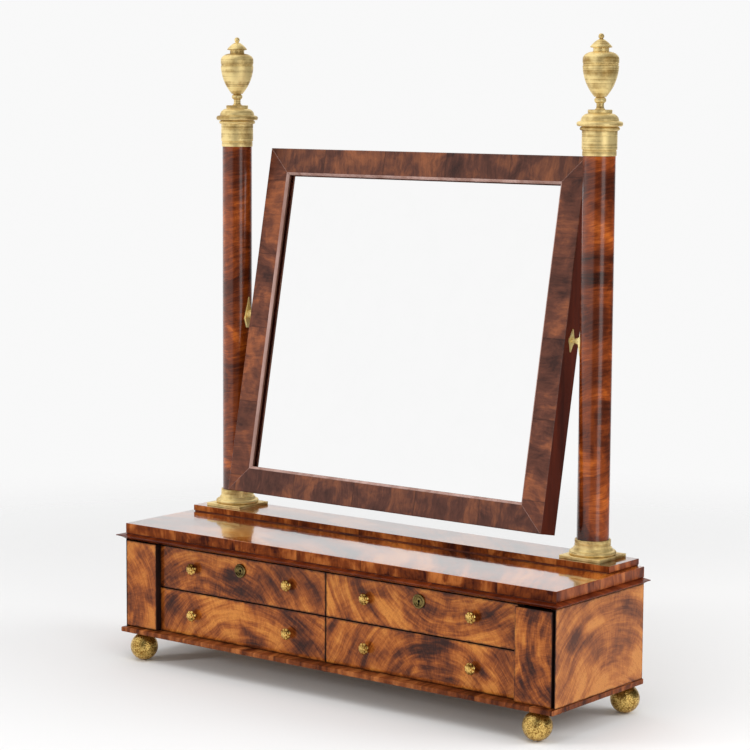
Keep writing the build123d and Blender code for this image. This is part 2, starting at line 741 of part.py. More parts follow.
for row in ("upper", "lower"):
    for side, sign in sides.items():
        drawer = f"{row}_{side}"
        front_low, front_high = front_x[side]
        bottom_z, top_z = front_z[row]
        carcass_low, carcass_high = bay_x[side][0] + front_gap, bay_x[side][1] - front_gap
        inner_low, inner_high = carcass_low + drawer_side_thickness, carcass_high - drawer_side_thickness
        carcass_bottom, carcass_top = carcass_z[row]
        carcass_back_y = inner_back_y - drawer_end_gap
        inside_back_y = carcass_back_y - drawer_back_thickness
        panel_bottom = carcass_bottom + drawer_bottom_rise
        panel_top = panel_bottom + drawer_bottom_thickness
        panel_x = (inner_low - groove_depth, inner_high + groove_depth)
        panel_y = (drawer_back_y - groove_depth, carcass_back_y)
        panel_z = (panel_bottom, panel_top)
        groove_x = (panel_x[0] - groove_gap, panel_x[1] + groove_gap)
        groove_z = (panel_bottom - groove_gap, panel_top + groove_gap)
        knob_rise = knob_height_upper if row == "upper" else knob_height_lower
        knob_z = bottom_z + knob_rise
        knob_x = [lock_x[side] - knob_spacing / 2, lock_x[side] + knob_spacing / 2]

        lip_x = (carcass_high, front_high) if side == "left" else (front_low, carcass_low)
        socket_x = ((front_low - joint_gap, inner_low + joint_gap),
                    (inner_high - joint_gap, front_high + joint_gap))

        with BuildPart() as front:
            block((front_low, front_high), (carcass_front_y, drawer_back_y), (bottom_z, top_z))
            block(lip_x, (tail_front_y, drawer_back_y), (bottom_z, top_z), Mode.SUBTRACT)
            for low, high in socket_x:
                extrude(tail_outlines(low, carcass_bottom, carcass_top, joint_gap), amount=high - low,
                        mode=Mode.SUBTRACT)
            block(groove_x, (panel_y[0] - groove_gap, drawer_back_y), groove_z, Mode.SUBTRACT)
            for x in knob_x:
                with Locations(Location((x, carcass_front_y, knob_z), (-90, 0, 0))):
                    Cylinder(knob_shank_radius + joint_gap, knob_shank_length + joint_gap, align=on_top,
                             mode=Mode.SUBTRACT)
            if row == "upper":
                block((lock_x[side] - lock_width / 2 - lock_gap, lock_x[side] + lock_width / 2 + lock_gap),
                      (lock_front_y - lock_gap, drawer_back_y), (top_z - lock_height - lock_gap, top_z),
                      Mode.SUBTRACT)
                extrude(keyhole(lock_x[side], carcass_front_y), amount=-front_thickness, mode=Mode.SUBTRACT)
        save(front, f"drawer_{drawer}_front")

        with BuildPart() as carcass:
            for low, high in ((carcass_low, inner_low), (inner_high, carcass_high)):
                block((low, high), (drawer_back_y, carcass_back_y), (carcass_bottom, carcass_top))
                extrude(tail_outlines(low, carcass_bottom, carcass_top, 0), amount=high - low)
            block(groove_x, (panel_y[0] - groove_gap, carcass_back_y), groove_z, Mode.SUBTRACT)
            block((inner_low, inner_high), (inside_back_y, carcass_back_y),
                  (panel_top + groove_gap, carcass_top - drawer_back_drop))
        save(carcass, f"drawer_{drawer}_carcass")

        with BuildPart() as bottom:
            block(panel_x, panel_y, panel_z)
        save(bottom, f"drawer_{drawer}_bottom")

        with BuildPart() as knobs:
            neck_y = carcass_front_y - knob_neck_length
            for x in knob_x:
                with BuildSketch(Plane(origin=(x, neck_y, knob_z), x_dir=(1, 0, 0), z_dir=(0, -1, 0))):
                    RegularPolygon(knob_radius - knob_petal_radius, knob_petals)
                    with PolarLocations(knob_radius - knob_petal_radius, knob_petals):
                        RegularPolygon(knob_petal_radius, 8)
                extrude(amount=knob_head_thickness)
                with Locations(Location((x, neck_y - knob_head_thickness, knob_z), (90, 0, 0))):
                    Cylinder(knob_button_radius, knob_button_height, align=on_top)
                with Locations(Location((x, neck_y, knob_z), (-90, 0, 0))):
                    Cylinder(knob_neck_radius, knob_neck_length, align=on_top)
                    Cylinder(knob_shank_radius, knob_neck_length + knob_shank_length, align=on_top)
        save(knobs, f"drawer_{drawer}_knobs")

        if row == "lower":
            continue

        x = lock_x[side]
        with BuildPart() as escutcheon:
            with Locations(Location((x, carcass_front_y, keyhole_z), (90, 0, 0))):
                Cylinder(escutcheon_radius, escutcheon_height, align=on_top)
            with Locations(Location((x, carcass_front_y - escutcheon_field, keyhole_z), (90, 0, 0))):
                Cylinder(escutcheon_radius - escutcheon_rim_width, escutcheon_height, align=on_top,
                         mode=Mode.SUBTRACT)
            extrude(keyhole(x, carcass_front_y - escutcheon_height), amount=-escutcheon_height,
                    mode=Mode.SUBTRACT)
        save(escutcheon, f"escutcheon_{side}")

        with BuildPart() as lock:
            block((x - lock_width / 2, x + lock_width / 2), (lock_front_y, drawer_back_y),
                  (top_z - lock_height, top_z))
            block((x - bolt_width / 2 - bolt_gap, x + bolt_width / 2 + bolt_gap),
                  (bolt_y - bolt_thickness / 2 - bolt_gap, bolt_y + bolt_thickness / 2 + bolt_gap),
                  (bolt_top - bolt_height - bolt_gap, top_z), Mode.SUBTRACT)
            with Locations(Location((x, lock_front_y, keyhole_z), (-90, 0, 0))):
                Cylinder(lock_pocket_radius, lock_pocket_depth, align=on_top, mode=Mode.SUBTRACT)
                Cylinder(drill_pin_radius, lock_pocket_depth, align=on_top)
        save(lock, f"lock_{side}")

        with BuildPart() as bolt:
            block((x - bolt_width / 2, x + bolt_width / 2), (bolt_y - bolt_thickness / 2,
                  bolt_y + bolt_thickness / 2), (bolt_top - bolt_height, bolt_top))
        save(bolt, f"lock_bolt_{side}")
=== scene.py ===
from math import atan2, cos, pi, radians, sin
import bpy
from mathutils import Matrix, Vector


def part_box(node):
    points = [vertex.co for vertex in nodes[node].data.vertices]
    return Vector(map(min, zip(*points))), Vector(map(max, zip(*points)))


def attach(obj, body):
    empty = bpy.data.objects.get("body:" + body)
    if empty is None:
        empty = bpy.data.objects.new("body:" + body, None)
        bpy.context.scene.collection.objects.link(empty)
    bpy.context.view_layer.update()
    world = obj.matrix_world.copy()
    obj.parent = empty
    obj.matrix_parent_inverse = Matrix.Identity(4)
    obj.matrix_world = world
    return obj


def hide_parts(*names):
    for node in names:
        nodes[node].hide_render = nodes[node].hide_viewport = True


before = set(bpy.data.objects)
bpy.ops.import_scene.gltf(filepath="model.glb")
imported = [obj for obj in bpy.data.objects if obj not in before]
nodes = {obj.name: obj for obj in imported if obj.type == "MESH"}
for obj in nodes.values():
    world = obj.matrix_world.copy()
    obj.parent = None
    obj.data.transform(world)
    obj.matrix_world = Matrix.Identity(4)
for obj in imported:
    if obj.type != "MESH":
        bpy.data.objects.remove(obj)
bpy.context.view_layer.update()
print("frame loaded")

mm = 0.001


def cadLow(node):
    return Vector(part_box(node)[0])


def cadHigh(node):
    return Vector(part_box(node)[1])


def cadMiddle(node):
    return (cadLow(node) + cadHigh(node)) / 2


def cadSize(node):
    return cadHigh(node) - cadLow(node)


def inLinear(red, green, blue):  # a colour given on the usual 0-255 scale
    share = [value / 255 for value in (red, green, blue)]
    return [s / 12.92 if s <= 0.04045 else ((s + 0.055) / 1.055) ** 2.4 for s in share] + [1]


def newObject(name, data):
    piece = bpy.data.objects.new(name, data)
    bpy.context.collection.objects.link(piece)
    return piece


def selectOnly(piece):
    if bpy.context.object and bpy.context.object.mode != "OBJECT":
        bpy.ops.object.mode_set(mode="OBJECT")
    bpy.ops.object.select_all(action="DESELECT")
    piece.select_set(True)
    bpy.context.view_layer.objects.active = piece


def startEdit(action="SELECT"):  # with the whole mesh selected, or none of it
    bpy.ops.object.mode_set(mode="EDIT")
    bpy.ops.mesh.select_all(action=action)


def endEdit():
    bpy.ops.object.mode_set(mode="OBJECT")


def editVertices(piece, wanted):  # with only the wanted vertices selected
    selectOnly(piece)
    startEdit("DESELECT")
    endEdit()
    for vertex in piece.data.vertices:
        vertex.select = wanted(vertex.co)
    bpy.ops.object.mode_set(mode="EDIT")


def bakePlace(piece):  # moves the object's place into its mesh
    selectOnly(piece)
    bpy.ops.object.transform_apply(location=True, rotation=True, scale=True)


def joinPieces(pieces, name):
    selectOnly(pieces[0])
    for piece in pieces:
        piece.select_set(True)
    bpy.ops.object.join()
    joined = bpy.context.object
    joined.name = name
    return joined


def placedCopy(model, placing, name):  # what repeats is modelled once, and each copy has its own mesh
    piece = newObject(name, model.data.copy())
    piece.matrix_world = placing
    bakePlace(piece)
    return piece


def block(place, size):  # the start of a plate or a cutter
    bpy.ops.mesh.primitive_cube_add(size=1, location=place, scale=size)
    piece = bpy.context.object
    bakePlace(piece)
    return piece


def cutAway(piece, cutter):
    selectOnly(piece)
    cut = piece.modifiers.new("cut", "BOOLEAN")
    cut.operation = "DIFFERENCE"
    cut.solver = "EXACT"
    cut.object = cutter
    bpy.ops.object.modifier_apply(modifier="cut")
    bpy.data.objects.remove(cutter)


def setFinish(piece, *finishes):
    piece.data.materials.clear()
    for finish in finishes:
        piece.data.materials.append(finish)


def standIn(piece, node, body):  # the piece stands in for a node, which is hidden, and joins the given body
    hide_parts(node)
    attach(piece, body)


camera = {
    "fromFront": Vector((1742.4, -2137.7, 716.65)) * mm,  # measured from the case's front, over the table
    "yaw": 38.01,
    "pitchDown": 6.85,
    "roll": 0.34,
    "focalPixels": 2383.9,
    "frameWidth": 750,  # pixels
    "sensorWidth": 36,
    "seesAsFar": 60,  # metres
}
frontY = cadLow("side_panel_left").y
lensData = bpy.data.cameras.new("camera")
lensData.sensor_width = camera["sensorWidth"]
lensData.lens = camera["focalPixels"] / camera["frameWidth"] * camera["sensorWidth"]
lensData.clip_end = camera["seesAsFar"]
cameraObject = newObject("camera", lensData)
cameraObject.matrix_world = (
    Matrix.Translation(camera["fromFront"] + Vector((0, frontY, 0)))
    @ Matrix.Rotation(radians(camera["yaw"]), 4, "Z")
    @ Matrix.Rotation(radians(90 - camera["pitchDown"]), 4, "X")
    @ Matrix.Rotation(radians(camera["roll"]), 4, "Z")
)
bpy.context.scene.camera = cameraObject
bpy.context.scene.view_settings.view_transform = "Standard"
print("camera set")


def putNode(tree, kind, inputs=None, **settings):
    node = tree.nodes.new("ShaderNode" + kind)
    for key, value in settings.items():
        setattr(node, key, value)
    for key, value in (inputs or {}).items():
        if isinstance(value, bpy.types.NodeSocket):
            tree.links.new(value, node.inputs[key])
        else:
            node.inputs[key].default_value = value
    return node


def newFinish(name, surface):
    finish = bpy.data.materials.new(name)
    finish.use_nodes = True
    tree = finish.node_tree
    tree.nodes.clear()
    output = tree.nodes.new("ShaderNodeOutputMaterial")
    shader = putNode(tree, "BsdfPrincipled", surface)
    tree.links.new(shader.outputs[0], output.inputs[0])
    return finish, tree, shader


def objectPoint(tree):
    return putNode(tree, "TexCoord").outputs["Object"]


def localPoint(tree, centre, turn):  # counted from a board's middle along its own axes
    return putNode(tree, "Mapping", {"Vector": objectPoint(tree), "Location": centre, "Rotation": turn},
                   vector_type="TEXTURE").outputs[0]


def axesOf(tree, vector):
    return putNode(tree, "SeparateXYZ", {"Vector": vector}).outputs


def lengthOf(tree, vector):
    return putNode(tree, "VectorMath", {0: vector}, operation="LENGTH").outputs["Value"]


def noiseOf(tree, point, scale, detail, seed, roughness=0.55, distortion=0.0, output="Fac"):
    return putNode(tree, "TexNoise", {"Vector": point, "Scale": scale, "Detail": detail, "W": seed,
                                      "Roughness": roughness, "Distortion": distortion},
                   noise_dimensions="4D").outputs[output]


def grainOf(tree, point, stretch, detail, seed, roughness=0.55, distortion=0.0):  # drawn out noise
    drawnOut = putNode(tree, "Mapping", {"Vector": point, "Scale": stretch}).outputs[0]
    return noiseOf(tree, drawnOut, 1.0, detail, seed, roughness, distortion)


def mathOf(tree, first, second, how="ADD"):
    return putNode(tree, "Math", {0: first, 1: second}, operation=how).outputs[0]


def blendColour(tree, share, first, second, how="MIX"):
    return putNode(tree, "MixRGB", {"Fac": share, "Color1": first, "Color2": second},
                   blend_type=how).outputs[0]


def colourSteps(tree, value, steps):
    ramp = putNode(tree, "ValToRGB", {"Fac": value})
    while len(ramp.color_ramp.elements) < len(steps):
        ramp.color_ramp.elements.new(0.5)
    for element, (position, colour) in zip(ramp.color_ramp.elements, steps):
        element.position = position
        element.color = colour
    return ramp.outputs["Color"]


def tonesOf(look, steps):  # which of the look's colours stands where on the ramp
    return [(step, inLinear(*look[tone])) for tone, step in steps.items()]


def spread(tree, value, low, high, newLow=0.0, newHigh=1.0, how="LINEAR"):
    return putNode(tree, "MapRange", {"Value": value, "From Min": low, "From Max": high,
                                      "To Min": newLow, "To Max": newHigh},
                   interpolation_type=how).outputs[0]


usualNoise = (0.3, 0.7)  # where nearly all of a noise's values lie


def addTone(tree, level, layer, adds, within=usualNoise, how="LINEAR"):  # darkens or lightens the level
    return mathOf(tree, level, spread(tree, layer, *within, *adds, how))


def addGrain(tree, level, point, seed, look):
    grain = grainOf(tree, point, look["stretch"], look["detail"], seed + look["seed"], look["roughness"])
    return addTone(tree, level, grain, look["adds"], look.get("within", usualNoise))


def warped(tree, point, bends, seed):  # bends: how fine they are, and how far they push
    scale, reach = bends
    push = noiseOf(tree, point, scale, 2.0, seed, output="Color")
    push = putNode(tree, "VectorMath", {0: push, 1: (0.5, 0.5, 0.5)}, operation="SUBTRACT").outputs[0]
    push = putNode(tree, "VectorMath", {0: push, "Scale": reach}, operation="SCALE").outputs[0]
    return putNode(tree, "VectorMath", {0: point, 1: push}, operation="ADD").outputs[0]


def facing(normal, along):  # the turn of a board from the way it faces and the way its length runs
    z = Vector(normal).normalized()
    x = Vector(along).normalized()
    return Matrix((x, z.cross(x), z)).transposed().to_euler()


def addBump(tree, shader, height, strength, distance, socket="Normal"):
    bump = putNode(tree, "Bump", {"Strength": strength, "Distance": distance, "Height": height})
    tree.links.new(bump.outputs[0], shader.inputs[socket])


woodTones = {
    "gold": inLinear(206, 130, 56),
    "orange": inLinear(172, 95, 36),
    "brown": inLinear(134, 67, 24),
    "umber": inLinear(88, 39, 13),
    "cloud": inLinear(46, 15, 5),
    "pore": inLinear(32, 9, 3),
}


def addPores(tree, shader, colour, point, seed, look):  # fine dark marks, cut a little into the wood
    pores = grainOf(tree, point, look["stretch"], 2.0, seed + look["seed"], 0.5)
    addBump(tree, shader, pores, look["depth"], 0.0003)
    marks = spread(tree, pores, *look["within"], 0.0, look["dark"])
    return blendColour(tree, marks, colour, woodTones["pore"])


def tinted(tree, colour, look):
    return blendColour(tree, 1.0, colour, (*look.get("tone", (1, 1, 1)), 1), "MULTIPLY")


flameGrain = {
    "sway": (8.0, 0.04),
    "wobble": (34.0, 0.006),
    "plumes": {"along": 1.9, "through": 4, "within": (0.34, 0.66), "tones": (0.24, 0.92)},
    "layers": [
        {"stretch": (170, 2.2, 20), "detail": 3.0, "seed": 5, "roughness": 0.5, "adds": (-0.2, 0.06),
         "within": (0.36, 0.6)},
        {"stretch": (520, 5, 60), "detail": 3.0, "seed": 7, "roughness": 0.6, "adds": (-0.15, 0.15)},
        {"stretch": (90, 42, 40), "detail": 3.0, "seed": 8, "roughness": 0.7, "adds": (-0.11, 0.11),
         "within": (0.34, 0.66)},
    ],
    "clouds": {"distortion": 0.8, "within": (0.34, 0.66), "adds": (-0.26, 0.2)},
    "steps": {"cloud": 0.0, "umber": 0.24, "brown": 0.48, "orange": 0.7, "gold": 1.0},
    "pores": {"stretch": (2300, 90, 200), "seed": 11, "within": (0.57, 0.70), "dark": 0.5, "depth": 0.25},
    "edgeShade": {"reach": 0.0022, "ragged": (-0.0012, 0.0010), "dark": 0.78},  # painted shade along the board's edges, next to the gaps round it
    "ripple": {"scale": 24.0, "reach": 0.004},  # the polish is a little wavy
}


def flameVeneer(name, centre, turn, half, look):
    # plumes bent round a point beside the board, their fibres following them, with dark clouds between
    seed = look["seed"]
    finish, tree, shader = newFinish(name, {
        "Roughness": look.get("under", 0.4), "Specular IOR Level": look.get("shine", 0.06),
        "Coat Weight": look.get("coat", 0.4), "Coat Roughness": look.get("gloss", 0.07)})
    point = localPoint(tree, centre, turn)
    bent = warped(tree, warped(tree, point, flameGrain["sway"], seed), flameGrain["wobble"], seed + 1)
    x, y = look["around"]
    ring = putNode(tree, "Mapping", {"Vector": bent, "Location": (x, y, 0),
                                     "Rotation": (0, 0, atan2(-y, -x))}, vector_type="TEXTURE").outputs[0]
    part = axesOf(tree, ring)
    reach = lengthOf(tree, putNode(tree, "CombineXYZ", {"X": part["X"], "Y": part["Y"]}).outputs[0])
    swing = mathOf(tree, part["Y"], part["X"], "ARCTAN2")
    polar = putNode(tree, "CombineXYZ", {"X": reach, "Y": swing, "Z": part["Z"]}).outputs[0]
    plume, cloud, ripple = (flameGrain[key] for key in ("plumes", "clouds", "ripple"))
    plumes = grainOf(tree, polar, (look["plume"], plume["along"], plume["through"]), 3.0, seed + 3, 0.5)
    level = spread(tree, plumes, *plume["within"], *plume["tones"])
    for layer in flameGrain["layers"]:
        level = addGrain(tree, level, polar, seed, layer)
    clouds = noiseOf(tree, bent, look["cloud"], 3.0, seed + 9, 0.5, cloud["distortion"])
    level = addTone(tree, level, clouds, cloud["adds"], cloud["within"])
    for x, y, wide, high, depth in look.get("clouds", ()):
        place = putNode(tree, "Mapping", {"Vector": bent, "Location": (x, y, 0),
                                          "Scale": (wide, high, 1)}, vector_type="TEXTURE").outputs[0]
        level = addTone(tree, level, lengthOf(tree, place), (-depth, 0.0), (0.15, 1.0), "SMOOTHSTEP")
    level = mathOf(tree, level, look.get("lift", 0.0))
    if "calm" in look:  # draws the tones together
        level = spread(tree, level, 0.0, 1.0, look["calm"] / 2, 1 - look["calm"] / 2)
    steps = [(step, woodTones[tone]) for tone, step in flameGrain["steps"].items()]
    colour = colourSteps(tree, level, steps)
    colour = addPores(tree, shader, colour, polar, seed, flameGrain["pores"])
    if half:
        # painted shade: the colour darkens within reach of the board's edges, where the gaps beside them
        # fall dark
        edgeShade = flameGrain["edgeShade"]
        spot = axesOf(tree, point)
        sideways = mathOf(tree, mathOf(tree, spot["X"], 0.0, "ABSOLUTE"), half[0], "SUBTRACT")
        upwards = mathOf(tree, mathOf(tree, spot["Y"], 0.0, "ABSOLUTE"), half[1], "SUBTRACT")
        near = mathOf(tree, sideways, upwards, "MAXIMUM")
        near = addTone(tree, near, noiseOf(tree, point, 120.0, 3.0, seed + 15), edgeShade["ragged"])
        colour = blendColour(tree, spread(tree, near, -edgeShade["reach"], 0.0, 0.0, edgeShade["dark"]), colour,
                             woodTones["pore"])
    tree.links.new(tinted(tree, colour, look), shader.inputs["Base Color"])
    waves = noiseOf(tree, point, ripple["scale"], 2.0, seed + 30)
    addBump(tree, shader, waves, look.get("ripple", 0.08), ripple["reach"], "Coat Normal")
    return finish


bandGrain = {
    "bends": (24.0, 0.022),
    "streaks": {"stretch": (330, 44, 44), "detail": 3.0, "seed": 7, "roughness": 0.6,
                "adds": (-0.15, 0.15)},
    "joint": {"width": 0.0009, "dark": 0.55},
    "pores": {"stretch": (2300, 240, 240), "seed": 21, "within": (0.58, 0.72), "dark": 0.5, "depth": 0.2},
    "ripple": {"scale": 30.0, "strength": 0.12, "reach": 0.003},
}


def crossBanding(name, turn, look, centre=(0, 0, 0)):
    # short sheets of veneer laid side by side, their grain across the member
    seed = look["seed"]
    finish, tree, shader = newFinish(name, {
        "Roughness": 0.38, "Specular IOR Level": look.get("shine", 0.18),
        "Coat Weight": look.get("coat", 0.14), "Coat Roughness": look.get("gloss", 0.2)})
    point = localPoint(tree, centre, turn)
    along = mathOf(tree, axesOf(tree, point)["X"], 3.0 + seed * 0.013)
    place = mathOf(tree, along, look["sheet"], "DIVIDE")
    sheet = mathOf(tree, place, 0.0, "FLOOR")
    sheetTone = putNode(tree, "TexWhiteNoise", {"W": mathOf(tree, sheet, seed)},
                        noise_dimensions="1D").outputs["Value"]
    sheetSeed = mathOf(tree, sheetTone, 40.0, "MULTIPLY")
    bent = warped(tree, point, bandGrain["bends"], seed)
    bands = grainOf(tree, bent, look.get("figure", (70, 20, 20)), 4.0, sheetSeed, 0.58, 0.7)
    level = spread(tree, bands, *usualNoise, 0.5 - look["contrast"], 0.5 + look["contrast"])
    level = addGrain(tree, level, bent, seed, bandGrain["streaks"])
    level = addTone(tree, level, sheetTone, (-look["sheets"], look["sheets"]), (0, 1))
    colour = colourSteps(tree, level, tonesOf(look, {"dark": 0.0, "middle": 0.5, "light": 1.0}))
    joint = mathOf(tree, place, 0.0, "FRACT")
    joint = mathOf(tree, joint, mathOf(tree, 1.0, joint, "SUBTRACT"), "MINIMUM")
    jointWidth = bandGrain["joint"]["width"] / look["sheet"]
    joint = spread(tree, joint, 0.0, jointWidth, bandGrain["joint"]["dark"], 0.0)
    colour = blendColour(tree, joint, colour, woodTones["pore"])
    colour = addPores(tree, shader, colour, bent, seed, bandGrain["pores"])
    tree.links.new(tinted(tree, colour, look), shader.inputs["Base Color"])
    ripple = bandGrain["ripple"]
    waves = noiseOf(tree, point, ripple["scale"], 2.0, seed + 30)
    addBump(tree, shader, waves, ripple["strength"], ripple["reach"], "Coat Normal")
    return finish


columnLook = {
    "left": {"seed": 3.0, "footShade": 0.12},
    "right": {"seed": 7.5, "footShade": 0.36},
    "middle": 0.4,  # height from which the pattern is counted
    "tucked": {"foot": 0.012, "head": 0.006},  # how far the shaft's ends go into their brasses
    "windingBy": (6, -14, 0),  # degrees
    "sway": (9.0, 0.05),
    "wobble": (40.0, 0.006),
    "clouds": {"stretch": (13, 13, 15), "distortion": 1.4, "within": (0.33, 0.67), "tones": (0.14, 0.86)},
    "layers": [
        {"stretch": (26, 26, 300), "detail": 4.0, "seed": 5, "roughness": 0.66, "adds": (-0.15, 0.15),
         "within": (0.32, 0.68)},
        {"stretch": (60, 60, 900), "detail": 3.0, "seed": 6, "roughness": 0.6, "adds": (-0.1, 0.1)},
    ],
    "footReach": (-0.24, -0.12),  # from the middle
    "steps": [(0.0, (36, 10, 2)), (0.35, (84, 31, 5)), (0.66, (136, 60, 13)), (1.0, (204, 106, 32))],
    "pores": {"stretch": (120, 120, 1500), "seed": 8, "within": (0.57, 0.71), "dark": 0.4, "depth": 0.2},
    "ripple": {"stretch": (20, 20, 8), "strength": 0.12, "reach": 0.002},
}


def columnVeneer(name, centre, seed, footShade):
    # the grain winds round the shaft, which is darker at its foot
    finish, tree, shader = newFinish(name, {
        "Roughness": 0.4, "Specular IOR Level": 0.05, "Coat Weight": 1, "Coat Roughness": 0.2})
    point = localPoint(tree, centre, [radians(angle) for angle in columnLook["windingBy"]])
    bent = warped(tree, warped(tree, point, columnLook["sway"], seed), columnLook["wobble"], seed + 1)
    cloud, ripple = columnLook["clouds"], columnLook["ripple"]
    clouds = grainOf(tree, bent, cloud["stretch"], 4.0, seed + 2, 0.6, cloud["distortion"])
    level = spread(tree, clouds, *cloud["within"], *cloud["tones"])
    for layer in columnLook["layers"]:
        level = addGrain(tree, level, bent, seed, layer)
    level = addTone(tree, level, axesOf(tree, bent)["Z"], (-footShade, 0.0), columnLook["footReach"],
                    "SMOOTHSTEP")
    colour = colourSteps(tree, level, [(step, inLinear(*tone)) for step, tone in columnLook["steps"]])
    colour = addPores(tree, shader, colour, bent, seed, columnLook["pores"])
    tree.links.new(colour, shader.inputs["Base Color"])
    waves = grainOf(tree, point, ripple["stretch"], 2.0, seed + 12)
    addBump(tree, shader, waves, ripple["strength"], ripple["reach"], "Coat Normal")
    return finish


plainLook = {
    # near black: a dark stain on the pilasters' edges, and painted shade on the drawer ends, panel edges
    # and inner boards, which makes the gaps read dark
    "dark stain and painted gap shade": {"seed": 3.0, "light": (44, 18, 10), "dark": (22, 8, 5)},
    "drawer wood": {"seed": 2.0, "light": (196, 160, 116), "dark": (150, 112, 74)},
    "back wood": {"seed": 5.0, "light": (168, 128, 84), "dark": (112, 78, 48)},
    "frame lip": {"seed": 13.0, "light": (128, 84, 64), "dark": (84, 50, 38)},
    "frame edge": {"seed": 11.0, "light": (108, 40, 18), "dark": (58, 18, 8)},
    # a pale pinkish colour on the sight bevel: a painted highlight, the white it would reflect
    "sight edge painted highlight": {"seed": 17.0, "light": (206, 172, 162), "dark": (150, 108, 94)},
}


def plainWood(name, turn, centre=(0, 0, 0)):
    look = plainLook[name]
    finish, tree, shader = newFinish(name, {"Roughness": 0.74, "Specular IOR Level": 0.25})
    point = localPoint(tree, centre, turn)
    rings = grainOf(tree, point, (3, 60, 60), 4.0, look["seed"], 0.55, 0.6)
    pores = grainOf(tree, point, (60, 1300, 1300), 2.0, look["seed"] + 3)
    stain = noiseOf(tree, point, 9.0, 3.0, look["seed"] + 6)
    level = addTone(tree, spread(tree, rings, *usualNoise), pores, (-0.15, 0.15))
    colour = colourSteps(tree, level, tonesOf(look, {"dark": 0.0, "light": 1.0}))
    colour = blendColour(tree, 1.0, colour, spread(tree, stain, *usualNoise, 0.68, 1.05), "MULTIPLY")
    tree.links.new(colour, shader.inputs["Base Color"])
    addBump(tree, shader, pores, 0.3, 0.0004)
    return finish


metalLook = {
    "gilt brass": {"bright": (252, 226, 158), "dull": (172, 138, 76), "roughness": 0.43, "rings": 700.0,
                   "ringDepth": 0.75, "metal": 0.75},
    "plate brass": {"bright": (236, 206, 140), "dull": (168, 134, 74), "roughness": 0.26, "rings": 60.0,
                    "ringDepth": 0.1, "metal": 1.0},
    "knob brass": {"bright": (236, 196, 112), "dull": (128, 90, 38), "roughness": 0.26, "rings": 300.0,
                   "ringDepth": 0.15, "metal": 1.0},
    "tarnished brass": {"bright": (134, 116, 70), "dull": (54, 42, 22), "roughness": 0.32, "rings": 500.0,
                        "ringDepth": 0.2, "metal": 1.0},
    # near white and little metallic, so the pivots look bright even in the frame's shade: a painted
    # highlight
    "pivot brass painted bright": {"bright": (255, 238, 168), "dull": (236, 204, 124), "roughness": 0.4, "rings": 60.0,
                    "ringDepth": 0.1, "metal": 0.35},
    "old steel": {"bright": (150, 148, 142), "dull": (84, 82, 80), "roughness": 0.4, "rings": 400.0,
                  "ringDepth": 0.15, "metal": 1.0},
    "beaten brass": {"bright": (234, 198, 116), "dull": (146, 106, 46), "dents": 620.0,
                     "dentDepth": 0.55},
    "silvered glass": {"clear": 0.995, "clouded": 0.985},
}
latheMarks = {"tarnish": 46.0, "broadRings": 150, "specks": 900.0, "speckDepth": 0.35,
              "adds": (-0.35, 0.35)}
hammerMarks = {"looseness": (500.0, 0.0012), "grit": 520.0, "tarnish": 80.0, "dentDepth": 0.5}


def turnedMetal(name):  # fine rings from the lathe, tarnish in patches
    look = metalLook[name]
    finish, tree, shader = newFinish(name, {"Metallic": look["metal"]})
    place = objectPoint(tree)
    tarnish = noiseOf(tree, place, latheMarks["tarnish"], 5.0, 2.0, 0.65)
    rings = grainOf(tree, place, (3, 3, look["rings"]), 3.0, 5.0)
    broad = grainOf(tree, place, (6, 6, latheMarks["broadRings"]), 2.0, 7.0)
    specks = noiseOf(tree, place, latheMarks["specks"], 2.0, 8.0)
    level = addTone(tree, spread(tree, tarnish, *usualNoise), rings, latheMarks["adds"])
    level = addTone(tree, level, broad, latheMarks["adds"])
    colour = colourSteps(tree, level, tonesOf(look, {"dull": 0.0, "bright": 0.68}))
    tree.links.new(colour, shader.inputs["Base Color"])
    wear = spread(tree, tarnish, *usualNoise, look["roughness"] + 0.12, look["roughness"] - 0.08)
    tree.links.new(wear, shader.inputs["Roughness"])
    specks = mathOf(tree, specks, latheMarks["speckDepth"], "MULTIPLY")
    height = mathOf(tree, mathOf(tree, rings, broad), specks)
    addBump(tree, shader, height, look["ringDepth"], 0.0005)
    return finish


def beatenMetal(name):
    look = metalLook[name]
    finish, tree, shader = newFinish(name, {"Metallic": 1.0})
    place = objectPoint(tree)
    loose = warped(tree, place, hammerMarks["looseness"], 4.0)
    dents = putNode(tree, "TexVoronoi", {"Vector": loose, "Scale": look["dents"]},
                    feature="SMOOTH_F1").outputs["Distance"]
    grit = noiseOf(tree, place, hammerMarks["grit"], 4.0, 3.0, 0.62)
    tarnish = noiseOf(tree, place, hammerMarks["tarnish"], 4.0, 6.0, 0.6)
    level = addTone(tree, spread(tree, grit, 0.34, 0.66), tarnish, (-0.25, 0.25))
    level = addTone(tree, level, dents, (0.2, -0.35), (0.2, 0.7))
    colour = colourSteps(tree, level, tonesOf(look, {"dull": 0.1, "bright": 0.7}))
    tree.links.new(colour, shader.inputs["Base Color"])
    tree.links.new(spread(tree, grit, *usualNoise, 0.42, 0.2), shader.inputs["Roughness"])
    hollows = mathOf(tree, mathOf(tree, 1.0, dents, "SUBTRACT"), hammerMarks["dentDepth"], "MULTIPLY")
    addBump(tree, shader, mathOf(tree, hollows, grit), look["dentDepth"], 0.0008)
    return finish


def silveredGlass(name):
    look = metalLook[name]
    finish, tree, shader = newFinish(name, {"Metallic": 1.0})
    spots = noiseOf(tree, objectPoint(tree), 38.0, 4.0, 1.0)
    clouded, clear = ([look[state]] * 3 + [1] for state in ("clouded", "clear"))
    colour = colourSteps(tree, spots, [(0.2, clouded), (0.6, clear)])
    tree.links.new(colour, shader.inputs["Base Color"])
    tree.links.new(spread(tree, spots, 0.2, 0.8, 0.006, 0.003), shader.inputs["Roughness"])
    return finish


